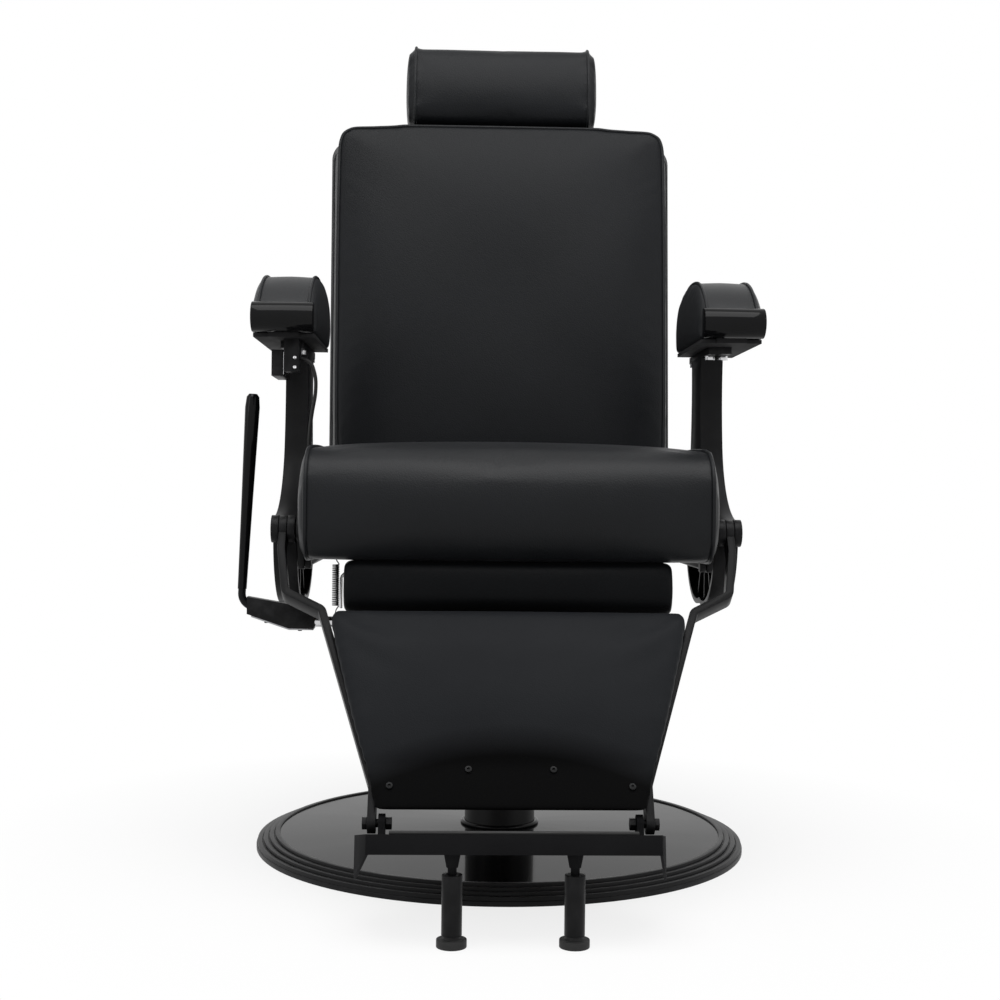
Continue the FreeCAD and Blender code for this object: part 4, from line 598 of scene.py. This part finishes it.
def stuffed(node, name, grid, tuck, room, held, pressure=4.0, bend=1.5, calm=3):
    """A cover over foam: the solid's form drawn in a little, then blown up against its seams and boards."""
    piece = merged_copy(node, name)
    apply_modifier(piece, "REMESH", mode="VOXEL", voxel_size=grid)
    apply_modifier(piece, "SMOOTH", factor=0.5, iterations=4)
    pick_only(piece)
    grip = np.round(held(points_of(piece), normals_of(piece)), 2)
    weight_group(piece, "drawn_in", 1 - grip)
    weight_group(piece, "seams", grip)
    if tuck:
        apply_modifier(piece, "DISPLACE", strength=-tuck, mid_level=0, vertex_group="drawn_in")
    frames = 20
    before = points_of(piece)
    cloth = piece.modifiers.new("stuffing", "CLOTH")
    cloth.settings.use_pressure = True
    cloth.settings.uniform_pressure_force = pressure
    cloth.settings.effector_weights.gravity = 0
    cloth.settings.vertex_group_mass = "seams"
    cloth.settings.quality = 4
    cloth.settings.tension_stiffness = 12
    cloth.settings.compression_stiffness = 12
    cloth.settings.shear_stiffness = 6
    cloth.settings.bending_stiffness = bend
    cloth.point_cache.frame_start = 1
    cloth.point_cache.frame_end = frames
    for step in range(1, frames + 1):
        bpy.context.scene.frame_set(step)
    bpy.ops.object.modifier_apply(modifier="stuffing")
    bpy.context.scene.frame_set(1)
    moved = points_of(piece) - before
    most = room(before, normals_of(piece)) if callable(room) else room
    length = np.linalg.norm(moved, axis=1)
    share = np.minimum(1, most / np.maximum(length, 1e-9))
    set_points(piece, before + moved * share[:, None])
    apply_modifier(piece, "SMOOTH", factor=0.5, iterations=calm)
    apply_modifier(piece, "SUBSURF", levels=1, render_levels=1)
    piece.vertex_groups.clear()
    pick_only(piece)
    bpy.ops.object.shade_smooth()
    return piece


def piping(cushion, name, place, direction, radius, proud, body):
    """A round welt that follows the cushion's skin where a seam plane cuts it."""
    strand = new_piece(name, cushion.data.copy())
    apply_modifier(strand, "DISPLACE", strength=proud, mid_level=0)
    edit_all(strand)
    bpy.ops.mesh.bisect(plane_co=place, plane_no=direction, clear_inner=True, clear_outer=True)
    bpy.ops.mesh.select_all(action="SELECT")
    bpy.ops.mesh.remove_doubles(threshold=0.0012)
    bpy.ops.mesh.vertices_smooth(factor=0.5, repeat=6)
    bpy.ops.object.mode_set(mode="OBJECT")
    bpy.ops.object.convert(target="CURVE")
    strand.data.bevel_depth = radius
    strand.data.bevel_resolution = 3
    bpy.ops.object.convert(target="MESH")
    strand = bpy.context.object
    edit_all(strand)
    close_up(strand)
    bpy.ops.object.shade_smooth()
    settle(strand, body, "upholstery")
    return strand


def mirror_image(piece, name):
    """The same piece for the other side of the chair, with its own mesh."""
    other = new_piece(name, piece.data.copy())
    edit_all(other)
    bpy.ops.transform.resize(value=(-1, 1, 1), center_override=(0, 0, 0))
    bpy.ops.mesh.flip_normals()
    bpy.ops.object.mode_set(mode="OBJECT")
    return other


def make_seat():
    """Seat: a long roll over the front edge between two piped end panels."""
    seam = 0.253

    def held(points, normals):
        at_seam = near_seam(abs(points[:, 0]) - seam, reach=0.008)
        underside = ramp(-normals[:, 2], 0.75, 0.95)
        return np.maximum(at_seam, underside)

    cushion = stuffed("seat_cushion", "seat_cushion_cover", grid=0.006, tuck=0.002, room=0.011, held=held)
    widened = [cushion]
    for side, x in (("right", -seam), ("left", seam)):
        widened.append(piping(cushion, f"seat_piping_{side}", (x, 0, 0), (1, 0, 0), radius=0.0026,
                              proud=0.0018, body="seat"))
    # Wider only in front of the castings, where nothing stands beside the roll
    gain, free_to, none_from = 0.012, -0.228, -0.208
    for piece in widened:
        points = points_of(piece)
        points[:, 0] *= 1 + gain - gain * ramp(points[:, 1], free_to, none_from)
        set_points(piece, points)
    settle(cushion, "seat", "upholstery", "seat_cushion")


def make_back():
    """Back: one broad front panel with piping round it, over a boxed edge."""
    front_depth, rear_depth = 0.074, 0.026
    most, less_on_top = 0.014, 0.010

    def held(points, normals):
        depth = (points - np.array(BACK_PIVOT)) @ np.array(BACK_REAR)
        at_seam = near_seam(depth + front_depth, reach=0.008)
        behind = ramp(depth, -0.030, -0.020)
        return np.maximum(at_seam, behind)

    def room(points, normals):
        upward = ramp(normals @ np.array(BACK_UP), 0.3, 0.8)
        return most - less_on_top * upward

    cushion = stuffed("back_cushion", "back_cushion_cover", grid=0.006, tuck=0.004, room=room, held=held)
    front_seam = BACK_PIVOT - front_depth * BACK_REAR
    rear_seam = BACK_PIVOT - rear_depth * BACK_REAR
    piping(cushion, "back_piping_front", front_seam, BACK_REAR, radius=0.0027, proud=0.0012,
           body="backrest")
    piping(cushion, "back_piping_rear", rear_seam, BACK_REAR, radius=0.0024, proud=0.0008,
           body="backrest")
    settle(cushion, "backrest", "upholstery", "back_cushion")
    cushion.data.materials[0] = leather("back_leather", LEATHER_DARK, LEATHER_LIGHT, shine=0.095)


def make_headrest():
    """Head rest: a bolster between two piped end panels."""
    seam, most, less_below = 0.139, 0.009, 0.006

    def held(points, normals):
        return near_seam(abs(points[:, 0]) - seam, reach=0.007)

    def room(points, normals):
        under = ramp(-(normals @ np.array(BACK_UP)), 0.3, 0.8)
        return most - less_below * under

    cushion = stuffed("headrest_cushion", "headrest_cushion_cover", grid=0.0045, tuck=0.003, room=room,
                      held=held)
    for side, x in (("right", -seam), ("left", seam)):
        piping(cushion, f"headrest_piping_{side}", (x, 0, 0), (1, 0, 0), radius=0.0024, proud=0.0010,
               body="headrest")
    settle(cushion, "headrest", "upholstery", "headrest_cushion")
    cushion.data.materials[0] = leather("headrest_leather", LEATHER_DARK, LEATHER_LIGHT, shine=0.11)


def make_arm_pads():
    """Arm pads: a top band between two piped side panels, one made and mirrored."""
    low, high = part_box("right_arm_pad")
    side_panel = 0.011
    outer_seam, inner_seam = low.x + side_panel, high.x - side_panel

    def held(points, normals):
        at_outer = near_seam(points[:, 0] - outer_seam, reach=0.006)
        at_inner = near_seam(points[:, 0] - inner_seam, reach=0.006)
        on_plate = ramp(-normals[:, 2], 0.80, 0.95)
        return np.maximum(np.maximum(at_outer, at_inner), on_plate)

    right = stuffed("right_arm_pad", "right_arm_pad_cover", grid=0.0045, tuck=0.001, room=0.008, held=held,
                    pressure=8)
    left = mirror_image(right, "left_arm_pad_cover")
    arm_leather = leather("arm_leather", LEATHER_DARK, LEATHER_LIGHT, shine=0.18)
    for side, pad, sign in (("right", right, 1), ("left", left, -1)):
        for edge, x in (("outer", outer_seam), ("inner", inner_seam)):
            piping(pad, f"{side}_arm_piping_{edge}", (sign * x, 0, 0), (1, 0, 0), radius=0.0023,
                   proud=0.0010, body="seat")
        settle(pad, "seat", "upholstery", f"{side}_arm_pad")
        pad.data.materials[0] = arm_leather


def make_apron():
    """Apron: a short roll under the seat's front edge."""
    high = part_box("apron_pad")[1]
    top_lift = 0.0035

    def held(points, normals):
        rear = ramp(points[:, 1], high.y - 0.006, high.y - 0.001)
        return np.maximum(rear, ramp(abs(normals[:, 0]), 0.6, 0.9))

    pad = stuffed("apron_pad", "apron_pad_cover", grid=0.0045, tuck=0, room=0.005, held=held)
    points = points_of(pad)
    points[:, 2] += top_lift * ramp(points[:, 2], high.z - 0.030, high.z - 0.006)
    set_points(pad, points)
    settle(pad, "seat", "upholstery", "apron_pad")
    # Painted shade: the apron's cover is a darker, duller copy of the leather, standing in for the shadow
    # under the seat's roll.
    dark, light = (0.0030, 0.0033, 0.0038), (0.0040, 0.0044, 0.0050)
    pad.data.materials[0] = leather("apron_leather_painted_shade", dark, light, shine=0.05)


def make_calf_pad():
    """Calf pad: a soft panel that thins to a flat hem held by four screws."""
    hem_middle, hem_dip, hem_half, top_lift = 0.312, 0.042, 0.16, 0.004

    def drop_of(points):
        return (points - np.array(LEG_PIVOT)) @ np.array(LEG_DOWN)

    def hem_line(x):
        return hem_middle + hem_dip * (x / hem_half) ** 2

    def held(points, normals):
        rear = ramp(normals[:, 1], 0.3, 0.7)
        below = drop_of(points) - hem_line(points[:, 0])
        return np.maximum(rear, ramp(below, -0.004, 0.006))

    pad = stuffed("calf_pad", "calf_pad_cover", grid=0.005, tuck=0, room=0.010, held=held, pressure=3,
                  bend=15, calm=10)
    points = points_of(pad)
    lift = top_lift * (1 - ramp(drop_of(points), 0.138, 0.165))
    set_points(pad, points - lift[:, None] * np.array(LEG_DOWN))
    settle(pad, "legrest", "upholstery", "calf_pad")
    # This finish paints shade on the pad below its arch.
    pad.data.materials[0] = calf_leather_painted_shade()


# Metal, boards and fittings
ROUNDED_EDGES = {
    "left_casting": 0.0016, "right_casting": 0.0016, "arm_plates": 0.0008, "arm_noses": 0.0012,
    "left_hanger": 0.0007, "right_hanger": 0.0007, "foot_tray": 0.0007, "foot_mat": 0.0006,
    "lever_clamp": 0.0022, "lever_grip": 0, "lever_handle": 0, "lever_shaft": 0.0005,
    "release_bracket": 0.0006, "release_paddle": 0.0005, "release_cable": 0,
    "left_leg_tube": 0.0004, "right_leg_tube": 0.0004, "left_leg_foot": 0.0008, "right_leg_foot": 0.0008,
    "base_cover": 0, "base_rim": 0.0006, "column_collar": 0.0006, "column_sleeve": 0.0008,
    "pump_housing": 0.0010, "mount_plate": 0.0008, "seat_rails": 0.0008, "front_cross_member": 0.0008,
    "rear_cross_member": 0.0008, "back_arms": 0.0008, "back_cranks": 0.0008, "leg_cranks": 0.0008,
    "leg_crossbars": 0.0006, "recline_links": 0.0006, "recline_cylinder": 0.0006,
    "headrest_sleeves": 0.0006, "back_shell": 0.004, "frame_bolts": 0.0003, "foot_bolts": 0.0003,
    "calf_screws": 0.0002, "clamp_screws": 0.0002, "column_bolts": 0.0003,
}
DULL_NODES = {"arm_plates": 0.20, "foot_tray": 0.025}


def sink_sockets(screws, facing):
    """A round socket in the flat end of each screw head that faces this way."""
    rim, draft, deep, least_area = 0.0019, 0.0001, 0.0017, 0.00002
    edit_faces(screws, lambda face: face.normal.dot(facing) > 0.99 and face.area > least_area)
    bpy.ops.mesh.inset(thickness=rim, use_individual=True)
    bpy.ops.mesh.inset(thickness=draft, depth=-deep, use_individual=True)
    bpy.ops.object.mode_set(mode="OBJECT")
    bpy.ops.object.shade_smooth_by_angle(angle=METAL_ANGLE)


def make_metalwork():
    """Metal, boards and small parts: rounded copies where edges show, and their own finish on the rest."""
    for node, edge in ROUNDED_EDGES.items():
        piece = rounded(node, edge)
        if node in DULL_NODES:
            piece.data.materials[0] = dull_coat(f"{node}_coat", DULL_NODES[node])
        if node == "calf_screws":
            sink_sockets(piece, LEG_FRONT)
    for node, piece in frame["nodes"].items():
        if node not in ROUNDED_EDGES:
            piece.data.materials[0] = FINISHES[SLOT_OF[node]]
    frame["nodes"]["apron_board"].data.materials[0] = stained_board()


def make_spring():
    """The lever's return spring, which runs from the seat down to the lever: a lighter copy of its coil,
    left fixed where it stands.
    """
    coil = merged_copy("return_spring", "return_spring_coil")
    apply_modifier(coil, "DECIMATE", ratio=0.35)
    pick_only(coil)
    bpy.ops.object.shade_smooth_by_angle(angle=math.radians(60))
    wear(coil, "bright_steel")
    coil.data.materials[0] = spring_steel()
    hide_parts("return_spring")
    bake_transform(coil)


def block(name, size, place):
    """A plain block, to be shaped further."""
    bpy.ops.object.select_all(action="DESELECT")
    bpy.ops.mesh.primitive_cube_add(size=1, location=place)
    piece = bpy.context.object
    piece.name = name
    bpy.ops.transform.resize(value=size)
    bpy.ops.object.transform_apply(location=True, rotation=True, scale=True)
    return piece


def screw_head(name, radius, depth, edge, place, turn=(0, 0, 0)):
    """A small round screw head with its rims broken."""
    bpy.ops.object.select_all(action="DESELECT")
    bpy.ops.mesh.primitive_cylinder_add(vertices=20, radius=radius, depth=depth, end_fill_type="NGON",
                                        location=place, rotation=turn)
    screw = bpy.context.object
    screw.name = name
    bpy.ops.object.transform_apply(location=True, rotation=True, scale=True)
    apply_modifier(screw, "BEVEL", width=edge, segments=2, limit_method="ANGLE")
    return screw


def make_valve_rod():
    """The pump's bent valve rod: out from the seat rail, then down past the apron's end."""
    wire, bend, tip, tip_share = 0.0021, 0.009, 0.0008, 0.6
    start, corner, depth, level, foot = -0.1155, -0.2250, -0.076, 0.388, 0.340
    bpy.ops.object.select_all(action="DESELECT")
    bpy.ops.mesh.primitive_circle_add(vertices=14, radius=wire, fill_type="NGON",
                                      location=(start, depth, level), rotation=(0, math.radians(90), 0))
    rod = bpy.context.object
    rod.name = "valve_rod"
    bpy.ops.object.transform_apply(location=True, rotation=True, scale=True)
    edit_all(rod)
    bpy.ops.mesh.extrude_region_move(TRANSFORM_OT_translate={"value": (corner + bend - start, 0, 0)})
    bpy.ops.mesh.spin(steps=8, angle=math.radians(90), center=(corner + bend, depth, level - bend),
                      axis=(0, 1, 0))
    bpy.ops.mesh.extrude_region_move(TRANSFORM_OT_translate={"value": (0, 0, foot - level + bend)})
    bpy.ops.mesh.extrude_region_move(TRANSFORM_OT_translate={"value": (0, 0, -tip)})
    bpy.ops.transform.resize(value=(tip_share, tip_share, 1), center_override=(corner, depth, foot))
    close_up(rod)
    bpy.ops.object.shade_smooth_by_angle(angle=FITTING_ANGLE)
    settle(rod, "seat", "bright_steel")


def make_lever_strip():
    """The bright strip under the lever's clamp, bent up along it, with two dark screw heads."""
    thick, depth, head = 0.0024, 0.016, 0.0018
    near, bend, far, under, slope = -0.2690, -0.3040, -0.3580, 0.3045, -1 / 3
    strip = block("lever_strip", (near - bend, depth, thick), ((near + bend) / 2, 0, under - thick / 2))
    outer = min(strip.data.polygons, key=lambda face: face.center.x).index
    edit_faces(strip, lambda face: face.index == outer)
    out = far - bend
    bpy.ops.mesh.extrude_region_move(TRANSFORM_OT_translate={"value": (out, 0, out * slope)})
    close_up(strip)
    apply_modifier(strip, "BEVEL", width=0.0004, segments=2, limit_method="ANGLE")
    bpy.ops.object.shade_smooth_by_angle(angle=FITTING_ANGLE)
    settle(strip, "pump_lever", "bright_steel")
    strip.data.materials[0] = bright_steel("dull_zinc_strip", (0.29, 0.29, 0.30), (0.35, 0.35, 0.36))
    near_screw, far_screw = -0.289, -0.337
    for name, x, lift in (("near", near_screw, 0), ("far", far_screw, (bend - far_screw) * -slope)):
        screw = screw_head(f"lever_strip_screw_{name}", radius=0.0030, depth=head, edge=0.0006,
                           place=(x, 0, under + lift - thick - head / 2))
        bpy.ops.object.shade_smooth_by_angle(angle=FITTING_ANGLE)
        settle(screw, "pump_lever", "black_frame")


def make_release_fittings():
    """Two small screws on the release bracket's face and the bright side plate of the paddle."""
    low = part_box("release_bracket")[0]
    screw_x, proud, rim, socket = -0.2845, 0.0007, 0.0009, 0.0006
    for name, height in (("upper", 0.679), ("lower", 0.666)):
        screw = screw_head(f"release_screw_{name}", radius=0.0024, depth=0.0016, edge=0.0005,
                           place=(screw_x, low.y - proud, height), turn=(math.radians(90), 0, 0))
        front = min(screw.data.polygons, key=lambda face: face.center.y).index
        edit_faces(screw, lambda face: face.index == front)
        bpy.ops.mesh.inset(thickness=rim)
        bpy.ops.transform.translate(value=(0, socket, 0))
        close_up(screw)
        bpy.ops.object.shade_smooth_by_angle(angle=FITTING_ANGLE)
        settle(screw, "seat", "bright_steel")
    low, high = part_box("release_paddle")
    thick, wide, tall = 0.0006, 0.021, 0.030
    plate_x, inset, below = -0.2997, 0.009, 0.003
    plate = block("paddle_side_plate", (thick, wide, tall),
                  (plate_x, low.y + inset, high.z - tall / 2 - below))
    apply_modifier(plate, "BEVEL", width=0.0002, segments=2)
    bpy.ops.object.shade_smooth_by_angle(angle=FITTING_ANGLE)
    settle(plate, "release_lever", "bright_steel")


# The scene
bpy.context.scene.view_settings.view_transform = "Standard"
make_camera()
make_lamp("ceiling_softbox", place=(0, -1.0, 2.9), aim=(0, -0.1, 0.5), size=(2.8, 2.0), power=72)
make_lamp("right_softbox", place=(-2.6, -1.5, 1.7), aim=(0, 0, 0.6), size=(1.2, 2.0), power=14)
make_lamp("left_softbox", place=(2.6, -1.5, 1.7), aim=(0, 0, 0.6), size=(1.2, 2.0), power=11)
make_room()
make_floor()
FINISHES = {
    "upholstery": leather("black_leather", LEATHER_DARK, LEATHER_LIGHT, shine=0.15),
    "black_frame": powder_coat(), "gloss_black": gloss_black(), "rim_black": rim_coat(),
    "bright_steel": bright_steel("bright_zinc_steel", (0.57, 0.57, 0.58), (0.65, 0.65, 0.66)),
    "iron": cast_iron(), "bronze": bush_bronze(), "plywood": plywood(), "back_panel": moulded_panel(),
    "black_rubber": black_rubber(),
}
make_seat()
make_back()
make_headrest()
make_arm_pads()
make_apron()
make_calf_pad()
make_metalwork()
make_spring()
make_valve_rod()
make_lever_strip()
make_release_fittings()
